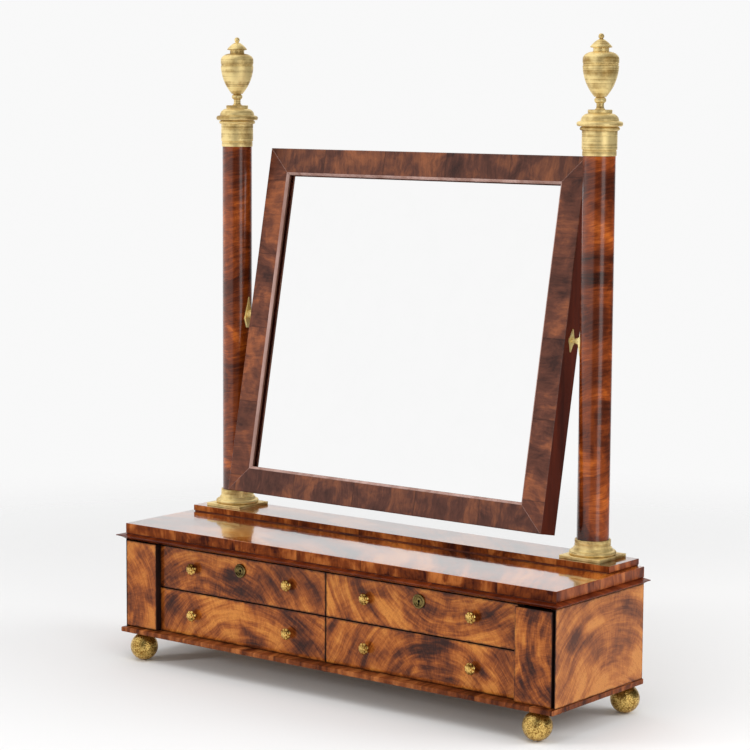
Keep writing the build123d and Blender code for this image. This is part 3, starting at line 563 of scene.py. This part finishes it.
giltBrass = turnedMetal("gilt brass")
plateBrass = turnedMetal("plate brass")
knobBrass = turnedMetal("knob brass")
footBrass = beatenMetal("beaten brass")
dullBrass = turnedMetal("tarnished brass")
pivotBrassPaintedBright = turnedMetal("pivot brass painted bright")
oldSteel = turnedMetal("old steel")
silvered = silveredGlass("silvered glass")
print("metals and glass ready")

easing = {  # widths and distances in millimetres, angles in degrees
    "widths": {"side": 0.6, "slab": 0.8, "moulding": 0.3, "pilaster": 0.7, "inside": 0.3,
               "drawerFront": 0.6, "carcass": 0.4, "frame": 0.4, "glass": 0.2, "backboard": 0.6},
    "segments": 2,
    "sharperThan": 50,
    "smoothBelow": 35,
    "flatBelow": 1.5,
    "mergeWithin": 0.004,
    "flatsWeigh": 80,
}


def easedCopy(node, body, kind, finishes, name=None):
    # a copy of a board with its sharp edges eased, as sanding leaves them
    piece = placedCopy(nodes[node], Matrix.Identity(4), name or node + "_eased")
    startEdit()
    bpy.ops.mesh.remove_doubles(threshold=easing["mergeWithin"] * mm)
    bpy.ops.mesh.dissolve_limited(angle_limit=radians(easing["flatBelow"]))
    endEdit()
    bevel = piece.modifiers.new("easing", "BEVEL")
    bevel.width = easing["widths"][kind] * mm
    bevel.segments = easing["segments"]
    bevel.limit_method = "ANGLE"
    bevel.angle_limit = radians(easing["sharperThan"])
    bevel.miter_outer = "MITER_ARC"
    bpy.ops.object.modifier_apply(modifier="easing")
    bpy.ops.object.shade_smooth_by_angle(angle=radians(easing["smoothBelow"]))
    weighting = piece.modifiers.new("weighting", "WEIGHTED_NORMAL")
    weighting.weight = easing["flatsWeigh"]
    weighting.keep_sharp = True
    bpy.ops.object.modifier_apply(modifier="weighting")
    setFinish(piece, *finishes)
    standIn(piece, node, body)
    return piece


def giveFaces(piece, slot, wanted):  # faces whose normal is wanted take the finish of that number
    for face in piece.data.polygons:
        if wanted(face.normal):
            face.material_index = slot


def halfSize(node, across, up):  # a board's half length and half height, in its own directions
    size = cadSize(node)
    return abs(size.dot(Vector(across))) / 2, abs(size.dot(Vector(up))) / 2


frontFace = facing((0, -1, 0), (1, 0, 0))
frontUpright = facing((0, -1, 0), (0, 0, 1))
rightFace = facing((1, 0, 0), (0, 1, 0))
topFace = facing((0, 0, 1), (1, 0, 0))
topFaceAlongY = facing((0, 0, 1), (0, 1, 0))

# around: the middle of the plumes' bend; clouds: across, up, wide, high and how dark
sideLook = {
    # the right panel's lift, calm and pale tone are painted light: the lit side made lighter, with a
    # painted sheen that greys its colour
    "right": {"seed": 3.4, "around": (0.03, -0.105), "plume": 36, "cloud": 15, "tone": (1.04, 1.2, 1.56),
              "lift": 0.17, "calm": 0.3,
              "clouds": [(-0.052, 0.012, 0.03, 0.022, 0.4), (0.03, -0.03, 0.045, 0.02, 0.25),
                         (0.06, 0.03, 0.03, 0.025, 0.2)]},
    "left": {"seed": 8.1, "around": (-0.03, -0.11), "plume": 36, "cloud": 15, "lift": 0.1},
}
bandLook = {
    "slabEdge": {"seed": 4.0, "sheet": 0.097, "sheets": 0.16, "contrast": 0.62, "figure": (38, 26, 22),
                 "dark": (56, 12, 0), "middle": (126, 58, 18), "light": (186, 108, 50), "coat": 0.1,
                 "shine": 0.04},
    "slabEnd": {"seed": 6.0, "sheet": 0.052, "sheets": 0.2, "contrast": 0.55,
                "dark": (76, 28, 12), "middle": (136, 68, 34), "light": (184, 108, 58)},
    "moulding": {"seed": 9.0, "sheet": 0.3, "sheets": 0.08, "contrast": 0.34, "dark": (50, 13, 3),
                 "middle": (90, 33, 11), "light": (134, 60, 24), "coat": 0.4, "gloss": 0.16,
                 "shine": 0.05},
    "plinth": {"seed": 14.0, "sheet": 0.074, "sheets": 0.2, "contrast": 0.55, "dark": (58, 20, 6),
               "middle": (122, 62, 28), "light": (176, 106, 56), "shine": 0.06},
}
edgeBand = crossBanding("edge banding", frontFace, bandLook["slabEdge"])
endBand = crossBanding("end banding", rightFace, bandLook["slabEnd"])
mouldingFront = crossBanding("moulding front", topFace, bandLook["moulding"])
mouldingSide = crossBanding("moulding side", topFaceAlongY, bandLook["moulding"])
plinthBand = crossBanding("plinth banding", frontFace, bandLook["plinth"])
plinthEnd = crossBanding("plinth end banding", rightFace, bandLook["plinth"])
topLook = {
    "slab": {"seed": 6.2, "around": (-0.2, -0.3), "plume": 30, "cloud": 9, "coat": 1.0, "gloss": 0.035,
             "under": 0.1, "shine": 0.5, "ripple": 0.1, "lift": 0.06, "tone": (1, 0.92, 0.74)},
    "shelf": {"seed": 9.7, "around": (-0.2, -0.3), "plume": 30, "cloud": 9, "coat": 1.0, "gloss": 0.05,
              "under": 0.12, "shine": 0.5, "ripple": 0.12, "tone": (1, 0.94, 0.8)},
}
slabTop = flameVeneer("slab veneer", cadMiddle("top_slab"), topFace, None, topLook["slab"])
shelfTop = flameVeneer("shelf veneer", cadMiddle("shelf_board"), topFace, None, topLook["shelf"])
stainAndGapShade = plainWood("dark stain and painted gap shade", topFace)
oak = plainWood("drawer wood", topFace)
oldPine = plainWood("back wood", facing((0, 1, 0), (1, 0, 0)), (0, 0.1, 0.1))

for side, sign in (("right", 1), ("left", -1)):
    node = f"side_panel_{side}"
    finish = flameVeneer(f"{side} side veneer", cadMiddle(node), rightFace,
                         halfSize(node, (0, 1, 0), (0, 0, 1)), sideLook[side])
    panel = easedCopy(node, "case", "side", [finish, stainAndGapShade])
    giveFaces(panel, 1, lambda normal: normal.x * sign < 0.5)

for board, finishes in (("top_slab", [slabTop, edgeBand, endBand]),
                        ("shelf_board", [shelfTop, edgeBand, endBand]),
                        ("plinth_board", [plinthBand, plinthBand, plinthEnd, oldPine])):
    eased = easedCopy(board, "case", "slab", finishes)
    giveFaces(eased, 1, lambda normal: abs(normal.z) < 0.75 and normal.y < -0.3)
    giveFaces(eased, 2, lambda normal: abs(normal.z) < 0.75 and abs(normal.x) > 0.6)
    if board == "plinth_board":  # its back and underside are bare
        giveFaces(eased, 3, lambda normal: normal.z < -0.9 or normal.y > 0.6)

for node, finish in (("cornice_front", mouldingFront), ("cornice_left", mouldingSide),
                     ("cornice_right", mouldingSide), ("shelf_slip", mouldingFront)):
    easedCopy(node, "case", "moulding", [finish])

pilasterLook = {
    "left": {"seed": 12.3, "around": (-0.03, 0.075), "plume": 40, "cloud": 22, "lift": 0.17, "calm": 0.2,
             "clouds": [(0.032, 0.004, 0.02, 0.02, 0.35), (-0.01, -0.012, 0.02, 0.012, 0.3)]},
    "right": {"seed": 15.9, "around": (0.02, -0.085), "plume": 40, "cloud": 22, "lift": -0.03,
              "clouds": [(0.02, 0.0, 0.03, 0.03, 0.28), (-0.04, 0.01, 0.02, 0.02, 0.2)]},
}
for side, look in pilasterLook.items():
    node = f"pilaster_{side}"
    finish = flameVeneer(f"{side} pilaster veneer", cadMiddle(node), frontUpright,
                         halfSize(node, (0, 0, 1), (1, 0, 0)), look)
    pilaster = easedCopy(node, "case", "pilaster", [finish, stainAndGapShade])
    giveFaces(pilaster, 1, lambda normal: normal.y > -0.5)

# the inner boards seen through the gaps are painted near black as painted shade
for node, finish in (("back_panel", oldPine), ("drawer_guides", stainAndGapShade), ("centre_divider", stainAndGapShade),
                     ("dust_boards", stainAndGapShade), ("sub_top_board", oldPine)):
    easedCopy(node, "case", "inside", [finish])
print("case boards eased")

drawerLook = {
    "upper_left": {"seed": 21.4, "around": (-0.05, -0.10), "plume": 38, "cloud": 17, "lift": 0.03,
                   "clouds": [(0.018, 0.002, 0.042, 0.03, 0.36), (-0.02, 0.012, 0.03, 0.016, 0.22),
                              (-0.118, 0.0, 0.02, 0.02, 0.2), (0.118, -0.006, 0.02, 0.022, 0.22)]},
    "upper_right": {"seed": 26.7, "around": (0.05, 0.085), "plume": 38, "cloud": 16, "lift": 0.17,
                    "clouds": [(0.1, -0.008, 0.03, 0.022, 0.32), (-0.06, 0.015, 0.03, 0.012, 0.28),
                               (0.028, 0.004, 0.02, 0.014, 0.2)]},
    "lower_left": {"seed": 31.2, "around": (0.02, -0.115), "plume": 30, "cloud": 15, "lift": 0.17,
                   "clouds": [(0.095, -0.014, 0.034, 0.02, 0.36), (-0.11, 0.006, 0.018, 0.02, 0.2),
                              (0.03, -0.02, 0.03, 0.012, 0.2)]},
    "lower_right": {"seed": 37.9, "around": (0.03, -0.075), "plume": 46, "cloud": 14, "lift": 0.06,
                    "clouds": [(0.012, 0.004, 0.034, 0.03, 0.36), (0.085, 0.004, 0.03, 0.024, 0.34),
                               (-0.085, -0.01, 0.02, 0.02, 0.2)]},
}
for drawer, look in drawerLook.items():
    node = f"drawer_{drawer}_front"
    body = f"drawer_{drawer}"
    face = flameVeneer(f"veneer {drawer}", cadMiddle(node), frontFace,
                       halfSize(node, (1, 0, 0), (0, 0, 1)), look)
    eased = easedCopy(node, body, "drawerFront", [face, stainAndGapShade, oak])
    # the drawer front's ends are painted near black, as painted shade for the gaps round it
    giveFaces(eased, 1, lambda normal: normal.y > -0.5)
    giveFaces(eased, 2, lambda normal: normal.y > 0.5)
    easedCopy(f"drawer_{drawer}_carcass", body, "carcass", [oak])
    setFinish(nodes[f"drawer_{drawer}_bottom"], oak)
print("drawers dressed")

for side in ("left", "right"):
    setFinish(nodes[f"lock_{side}"], plateBrass)
    setFinish(nodes[f"lock_bolt_{side}"], oldSteel)


turning = {"vertices": 96, "smoothBelow": 32}


def turnedPiece(name, outline, vertices=turning["vertices"]):
    # a disc drawn upwards station by station, each one a radius and a height
    (radius, height), rest = outline[0], outline[1:]
    bpy.ops.mesh.primitive_circle_add(vertices=vertices, radius=radius, fill_type="NGON",
                                      location=(0, 0, height))
    piece = bpy.context.object
    piece.name = name
    startEdit()
    for newRadius, newHeight in rest:
        bpy.ops.mesh.extrude_region_move(TRANSFORM_OT_translate={"value": (0, 0, newHeight - height)})
        share = newRadius / radius
        bpy.ops.transform.resize(value=(share, share, 1), center_override=(0, 0, newHeight))
        radius, height = newRadius, newHeight
    bpy.ops.mesh.select_all(action="SELECT")
    bpy.ops.mesh.normals_make_consistent(inside=False)
    endEdit()
    bakePlace(piece)
    bpy.ops.object.shade_smooth_by_angle(angle=radians(turning["smoothBelow"]))
    return piece


def arcStations(middle, radii, start, end, count):  # an arc or a quarter ellipse, angles in degrees
    steps = [radians(start + (end - start) * i / count) for i in range(count + 1)]
    return [(middle[0] + radii[0] * cos(a), middle[1] + radii[1] * sin(a)) for a in steps]


def curveStations(points, count):  # a smooth line through listed stations
    ends = [points[0]] + points + [points[-1]]
    line = []
    for i in range(1, len(ends) - 2):
        p0, p1, p2, p3 = (Vector(p) for p in ends[i - 1:i + 3])
        for step in range(count):
            t = step / count
            at = 0.5 * (2 * p1 + (p2 - p0) * t + (2 * p0 - 5 * p1 + 4 * p2 - p3) * t * t
                        + (3 * p1 - p0 - 3 * p2 + p3) * t * t * t)
            line.append((at.x, at.y))
    return line + [tuple(points[-1])]


def inMetres(stations):
    return [(radius * mm, height * mm) for radius, height in stations]


columnY = cadMiddle("column_shaft_left").y
columnX = cadMiddle("column_shaft_right").x
shaftRadius = cadSize("column_shaft_right").x / 2
shelfHeight = cadHigh("shelf_board").z
capFoot = cadLow("column_capitals").z
capTop = cadHigh("column_capitals").z
columnFeet = [(-columnX, columnY), (columnX, columnY)]


def onColumns(model, height, name, node):  # a brass that both columns have
    places = [Matrix.Translation((x, y, height)) for x, y in columnFeet]
    pair = joinPieces([placedCopy(model, place, name) for place in places], name)
    bpy.data.objects.remove(model)
    setFinish(pair, giltBrass)
    standIn(pair, node, "case")


shaftFoot = shelfHeight + columnLook["tucked"]["foot"]
shaftLength = capFoot + columnLook["tucked"]["head"] - shaftFoot
shaftModel = turnedPiece("shaft", [(shaftRadius, shaftLength * share) for share in (0, 0.5, 1)])
for side, (x, y) in zip(("left", "right"), columnFeet):
    look = columnLook[side]
    shaft = placedCopy(shaftModel, Matrix.Translation((x, y, shaftFoot)), f"shaft_{side}")
    setFinish(shaft, columnVeneer(f"column veneer {side}", (x, y, columnLook["middle"]), look["seed"],
                                  look["footShade"]))
    standIn(shaft, f"column_shaft_{side}", "case")
bpy.data.objects.remove(shaftModel)
print("columns turned")

# stations: radii and heights in millimetres; none has radius 0, as the next is scaled from it
baseLook = {
    "plateSide": 56.0,
    "plateThickness": 4.0,
    "plateEase": 0.5,
    "stations": (
        arcStations((24.8, 6.6), (2.6, 2.6), -88, 88, 12)
        + [(23.7, 9.3), (23.5, 9.7)]
        + curveStations([(23.4, 9.7), (23.1, 10.8), (22.5, 12.0), (22.2, 12.6)], 4)
        + [(21.0, 12.8), (20.9, 13.2), (20.9, 17.2), (20.6, 17.5), (20.9, 17.8), (20.9, 21.4),
           (20.3, 22.0), (18.9, 22.0)]
    ),
}
ring = turnedPiece("base_ring", inMetres(baseLook["stations"]))
side, thickness = baseLook["plateSide"] * mm, baseLook["plateThickness"] * mm
plate = block((0, 0, thickness / 2), (side, side, thickness))
startEdit()
bpy.ops.mesh.bevel(offset=baseLook["plateEase"] * mm, segments=2, affect="EDGES")
endEdit()
base = joinPieces([ring, plate], "base")
onColumns(base, shelfHeight, "brass_bases", "column_bases")

capitalLook = {
    "stations": (
        [(19.2, 0), (19.5, 0.3), (19.5, 5.6), (19.0, 6.0), (19.0, 6.6), (20.2, 7.2), (20.2, 22.4),
         (19.9, 22.8), (19.9, 23.2), (20.2, 23.6), (20.2, 28.2)]
        + arcStations((20.3, 30.6), (2.5, 2.2), -85, 85, 8)
        + [(20.8, 33.0), (24.0, 33.2)]
        + arcStations((23.9, 36.0), (2.5, 2.8), -85, 85, 10)
        + [(23.4, 38.9), (22.6, 39.2), (21.8, 39.4)]
        + arcStations((12.6, 39.4), (9.1, 8.4), 2, 84, 12)
        + [(13.4, 48.2), (13.9, 48.5), (13.9, 51.4), (13.3, 52.0), (6.0, 52.0)]
    ),
}
capital = turnedPiece("capital", inMetres(capitalLook["stations"]))
onColumns(capital, capFoot, "brass_capitals", "column_capitals")

finialLook = {
    "stations": (
        [(5.8, 0), (5.8, 0.7)]
        + curveStations([(5.4, 0.9), (4.7, 1.8), (4.3, 3.2), (4.3, 6.6)], 4)
        + arcStations((4.0, 10.7), (2.8, 3.3), -80, 80, 8)
        + [(5.2, 14.2), (7.2, 14.5)]
        + curveStations([(7.2, 14.9), (9.4, 17.6), (11.7, 20.9), (13.6, 24.1), (15.3, 27.4), (16.8, 30.9),
                         (18.0, 34.4), (19.0, 37.9), (20.1, 43.5), (20.6, 49.0)], 3)
        + [(19.9, 49.5), (19.9, 50.2), (20.3, 50.5), (20.3, 51.1), (19.9, 51.4), (19.9, 51.9),
           (20.6, 52.3), (20.6, 56.4)]
        + curveStations([(20.6, 56.4), (20.3, 58.6), (18.5, 61.4), (15.2, 63.6), (12.2, 64.6),
                         (9.6, 65.0)], 4)
        + [(9.0, 65.3), (9.0, 69.2), (11.6, 69.5)]
        + arcStations((11.7, 70.4), (0.8, 0.8), -85, 70, 6)
        + curveStations([(11.7, 71.6), (10.3, 73.1), (8.4, 75.0), (6.2, 76.8), (3.9, 78.3),
                         (2.0, 79.2)], 3)
        + arcStations((0, 82.1), (3.3, 3.3), -52, 86, 14)
        + [(0.02, 85.4)]
    ),
}
finial = turnedPiece("finial", inMetres(finialLook["stations"]))
onColumns(finial, capTop, "brass_finials", "finials")

footLook = {"segments": 64, "rings": 40, "smoothBelow": 40}
footRadius = cadSize("ball_feet_front").y / 2
plinthBottom = cadLow("plinth_board").z
bpy.ops.mesh.primitive_uv_sphere_add(segments=footLook["segments"], ring_count=footLook["rings"],
                                     radius=footRadius, location=(0, 0, plinthBottom / 2))
footModel = bpy.context.object
bakePlace(footModel)
for height, isFloor in ((0.0, True), (plinthBottom, False)):  # the flats it stands and carries on
    startEdit()
    bpy.ops.mesh.bisect(plane_co=(0, 0, height), plane_no=(0, 0, 1), use_fill=True,
                        clear_inner=isFloor, clear_outer=not isFloor)
    endEdit()
bpy.ops.object.shade_smooth_by_angle(angle=radians(footLook["smoothBelow"]))
for row in ("front", "back"):
    node = f"ball_feet_{row}"
    footX = cadHigh(node).x - footRadius
    places = [Matrix.Translation((x, cadMiddle(node).y, 0)) for x in (-footX, footX)]
    feet = joinPieces([placedCopy(footModel, place, f"feet_{row}") for place in places], f"feet_{row}")
    setFinish(feet, footBrass)
    standIn(feet, node, "case")
bpy.data.objects.remove(footModel)
print("brass turned")

knobLook = {
    "petals": 8,
    "verticesEach": 6,
    "stations": [(3.4, 0.0), (3.2, 0.8), (2.6, 1.4), (2.6, 3.4), (3.4, 3.9), (6.0, 4.3), (7.1, 5.2),
                 (7.2, 6.2), (6.7, 7.2), (5.6, 7.9), (5.0, 8.0), (4.9, 8.05), (4.7, 9.0), (3.7, 9.7),
                 (2.5, 9.8), (2.3, 9.85), (1.7, 10.4), (0.9, 10.6), (0.02, 10.65)],
    "grooves": [(4.2, 7.95, 0.74, 0.0), (8.02, 9.75, 0.72, 0.5)],  # from, to, how deep, turned by petals
    "grooveWidth": 0.1,  # in petals, each side
    "smoothBelow": 50,
}
drawerFace = cadLow("drawer_upper_left_front").y


def ontoDrawer(x, z):  # lays what was turned upright on the drawers' faces
    return Matrix.Translation((x, drawerFace, z)) @ Matrix.Rotation(radians(90), 4, "X")


def betweenPetals(spot, turn):
    place = (atan2(spot.y, spot.x) / (2 * pi) * knobLook["petals"] + turn) % 1
    return min(place, 1 - place) < knobLook["grooveWidth"]


def rosetteKnob():
    vertices = knobLook["petals"] * knobLook["verticesEach"]
    knob = turnedPiece("rosette", inMetres(knobLook["stations"]), vertices)
    for low, high, depth, turn in knobLook["grooves"]:
        editVertices(knob, lambda spot: low * mm < spot.z < high * mm and betweenPetals(spot, turn))
        bpy.ops.transform.resize(value=(depth, depth, 1), center_override=(0, 0, 0))
        endEdit()
    bpy.ops.object.shade_smooth_by_angle(angle=radians(knobLook["smoothBelow"]))
    return knob


knobModel = rosetteKnob()
for drawer in drawerLook:
    node = f"drawer_{drawer}_knobs"
    reach = cadSize(node).z / 2
    places = [ontoDrawer(x, cadMiddle(node).z) for x in (cadLow(node).x + reach, cadHigh(node).x - reach)]
    name = f"rosettes_{drawer}"
    pair = joinPieces([placedCopy(knobModel, place, name) for place in places], name)
    setFinish(pair, knobBrass)
    standIn(pair, node, f"drawer_{drawer}")
bpy.data.objects.remove(knobModel)

escutcheonLook = {
    "stations": [(8.2, 0.0), (8.5, 0.3), (8.45, 1.6), (8.0, 2.25), (7.4, 2.4), (6.8, 2.2), (6.4, 1.4),
                 (6.1, 1.1), (5.5, 1.05), (5.2, 1.4), (4.7, 1.85), (4.2, 1.75), (3.9, 1.2), (3.7, 1.0),
                 (2.4, 0.98), (0.02, 0.98)],
    "holeRadius": 1.7,
    "slot": (1.7, 5.0, 9.0),  # wide, long, and deeper than the plate
    "vertices": 72,
    "holeVertices": 32,
}
slotWidth, slotLength, slotDepth = (size * mm for size in escutcheonLook["slot"])
keyPlate = turnedPiece("keyhole_plate", inMetres(escutcheonLook["stations"]), escutcheonLook["vertices"])
bpy.ops.mesh.primitive_cylinder_add(vertices=escutcheonLook["holeVertices"], depth=slotDepth,
                                    radius=escutcheonLook["holeRadius"] * mm)
cutAway(keyPlate, bpy.context.object)
cutAway(keyPlate, block((0, -slotLength / 2, 0), (slotWidth, slotLength, slotDepth)))
bpy.ops.object.shade_smooth_by_angle(angle=radians(turning["smoothBelow"]))
for side in ("left", "right"):
    node = f"escutcheon_{side}"
    ring = placedCopy(keyPlate, ontoDrawer(cadMiddle(node).x, cadMiddle(node).z), f"keyhole_plate_{side}")
    setFinish(ring, dullBrass)
    standIn(ring, node, f"drawer_upper_{side}")
bpy.data.objects.remove(keyPlate)
print("drawer brasses made")

mirrorLook = {
    "leansBack": 11.2,  # degrees
    "silverDepth": 0.0026,  # the silver lies behind the glass's face
    "members": {
        "frame_top_rail": {"upright": False, "seed": 41.0, "tone": (0.72, 0.76, 0.82)},
        "frame_bottom_rail": {"upright": False, "seed": 47.0, "tone": (0.77, 0.82, 0.9)},
        "frame_stile_left": {"upright": True, "seed": 52.0, "tone": (1.05, 1.0, 0.9)},
        "frame_stile_right": {"upright": True, "seed": 58.0, "tone": (1, 1, 1)},
    },
    "veneer": {"sheet": 0.094, "sheets": 0.14, "contrast": 0.46, "figure": (34, 27, 27), "coat": 0.2,
               "gloss": 0.2, "dark": (52, 24, 17), "middle": (100, 56, 41), "light": (158, 92, 57)},
}
tilt = radians(mirrorLook["leansBack"])
acrossFrame = Vector((1, 0, 0))
upFrame = Vector((0, sin(tilt), cos(tilt)))
outOfFrame = Vector((0, -cos(tilt), sin(tilt)))
frameLip, frameEdge, sightEdgeHighlight = (plainWood(name, facing((1, 0, 0), (0, 0, 1)))
                                  for name in ("frame lip", "frame edge", "sight edge painted highlight"))
for node, member in mirrorLook["members"].items():
    along = upFrame if member["upright"] else acrossFrame
    finish = crossBanding(f"veneer {node}", facing(outOfFrame, along), {**mirrorLook["veneer"], **member},
                          cadMiddle(node))
    eased = easedCopy(node, "mirror", "frame", [finish, frameEdge, sightEdgeHighlight, frameLip])
    inward = (cadMiddle("mirror_glass") - cadMiddle(node)).normalized()
    giveFaces(eased, 1, lambda normal: normal.dot(outOfFrame) < 0.5)
    giveFaces(eased, 3, lambda normal: abs(normal.dot(outOfFrame)) < 0.4 and normal.dot(inward) > 0.5)
    # the bevel round the sight takes the painted highlight
    giveFaces(eased, 2, lambda normal: 0.4 < normal.dot(outOfFrame) < 0.96 and normal.dot(inward) > 0.2)

pane = easedCopy("mirror_glass", "mirror", "glass", [silvered], "silvered_pane")
paneFront = max(vertex.co.dot(outOfFrame) for vertex in pane.data.vertices)
editVertices(pane, lambda spot: spot.dot(outOfFrame) > paneFront - 1 * mm)
bpy.ops.transform.translate(value=tuple(-outOfFrame * mirrorLook["silverDepth"]))
endEdit()

backboard = easedCopy("backboard", "mirror", "backboard", [oldPine])
screwLook = {
    "head": [(3.7, 0.0), (3.7, 0.5), (3.2, 0.9), (0.02, 1.0)],
    "slot": (0.9, 8.0, 0.9),  # wide, long, deep
    "places": [(214.7, 117.0), (128.8, 195.0)],
    "turns": [20, 74, 131, 8, 52, 97, 160, 115],  # no two slots stand alike
    "vertices": 28,
}
backDepth = min(vertex.co.dot(outOfFrame) for vertex in backboard.data.vertices)
screwHead = turnedPiece("screw_head", inMetres(screwLook["head"]), screwLook["vertices"])
headHeight = screwLook["head"][-1][1] * mm
cutAway(screwHead, block((0, 0, headHeight), [size * mm for size in screwLook["slot"]]))
corners = [(x * sx, y * sy) for x, y in screwLook["places"] for sx in (-1, 1) for sy in (-1, 1)]
outwards = (-outOfFrame).to_track_quat("Z", "Y").to_matrix().to_4x4()
screws = []
for (x, y), turn in zip(corners, screwLook["turns"]):
    place = cadMiddle("backboard") + (acrossFrame * x + upFrame * y) * mm
    place += outOfFrame * (backDepth - place.dot(outOfFrame))
    placing = Matrix.Translation(place) @ outwards @ Matrix.Rotation(radians(turn), 4, "Z")
    screws.append(placedCopy(screwHead, placing, "backboard_screws"))
bpy.data.objects.remove(screwHead)
screws = joinPieces(screws, "backboard_screws")
setFinish(screws, oldSteel)
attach(screws, "mirror")
setFinish(nodes["glass_blocks"], oldPine)
# the pivot brasses take the painted highlight
for node in ("socket_plates", "pivot_plates", "pivot_pins"):
    setFinish(nodes[node], pivotBrassPaintedBright)
print("mirror dressed")

floorLook = {
    "size": 12,
    "drop": 0.0004,
    "colour": (0.81, 0.81, 0.81, 1),
    "fade": (0.7, 1.7),  # between these it melts into the backdrop
}
bpy.ops.mesh.primitive_plane_add(size=floorLook["size"], location=(0, 0, -floorLook["drop"]))
floor = bpy.context.object
floor.name = "floor"
floorFinish, floorTree, floorShader = newFinish("pale floor", {
    "Roughness": 0.9, "Base Color": floorLook["colour"], "Specular IOR Level": 0.1})
floorFade = spread(floorTree, lengthOf(floorTree, objectPoint(floorTree)), *floorLook["fade"], 0.0, 1.0,
                   "SMOOTHSTEP")
gone = putNode(floorTree, "BsdfTransparent")
floorMix = putNode(floorTree, "MixShader", {0: floorFade, 1: floorShader.outputs[0], 2: gone.outputs[0]})
floorOutput = [node for node in floorTree.nodes if node.type == "OUTPUT_MATERIAL"][0]
floorTree.links.new(floorMix.outputs[0], floorOutput.inputs[0])
setFinish(floor, floorFinish)

lights = {
    "backdrop": 0.945,
    "dimRoom": 0.07,  # the side of the room that the gloss sees dark
    "whiteSide": (-0.9986, -0.052, 0),
    "turnsWhite": (-0.14, 0.06),  # how far towards the white side
    "sky": 0.62,
    "aim": Vector((0, 0, 0.3)),
    "lamps": {
        "strip": {"place": (2.05, -0.79, 0.55), "size": (0.85, 1.7), "power": 9.5, "inGloss": True},
        "rightFill": {"place": (1.7, 0.9, 1.3), "size": (1.2, 1.2), "power": 20.0, "inGloss": False},
        "leftFill": {"place": (-1.7, -2.0, 0.9), "size": (0.45, 0.45), "power": 22.0, "inGloss": False},
        "overhead": {"place": (-0.1, -0.5, 2.5), "size": (2.4, 1.8), "power": 26.0, "inGloss": False},
    },
}


def oneOrOther(tree, share, whenNone, whenAll):
    rest = mathOf(tree, mathOf(tree, 1.0, share, "SUBTRACT"), whenNone, "MULTIPLY")
    return mathOf(tree, rest, mathOf(tree, share, whenAll, "MULTIPLY"))


world = bpy.data.worlds.new("studio")
bpy.context.scene.world = world
world.use_nodes = True
worldTree = world.node_tree
worldTree.nodes.clear()
path = putNode(worldTree, "LightPath").outputs
towards = putNode(worldTree, "TexCoord").outputs["Generated"]
whiteness = putNode(worldTree, "VectorMath", {0: towards, 1: lights["whiteSide"]},
                    operation="DOT_PRODUCT")
mirrored = spread(worldTree, whiteness.outputs["Value"], *lights["turnsWhite"], lights["dimRoom"],
                  lights["backdrop"], "SMOOTHSTEP")
seen = mathOf(worldTree, path["Is Glossy Ray"], path["Is Transmission Ray"], "MAXIMUM")
level = oneOrOther(worldTree, seen, lights["sky"], mirrored)
level = oneOrOther(worldTree, path["Is Camera Ray"], level, lights["backdrop"])
background = putNode(worldTree, "Background", {"Color": (1, 1, 1, 1), "Strength": level})
worldOutput = putNode(worldTree, "OutputWorld")
worldTree.links.new(background.outputs[0], worldOutput.inputs[0])

for name, look in lights["lamps"].items():
    lampData = bpy.data.lights.new(name, "AREA")
    lampData.shape = "RECTANGLE"
    lampData.size, lampData.size_y = look["size"]
    lampData.energy = look["power"]
    lamp = newObject(name, lampData)
    lamp.visible_glossy = look["inGloss"]
    lamp.location = look["place"]
    toObject = lights["aim"] - lamp.location
    lamp.rotation_euler = toObject.to_track_quat("-Z", "Y").to_euler()
print("floor and light ready")
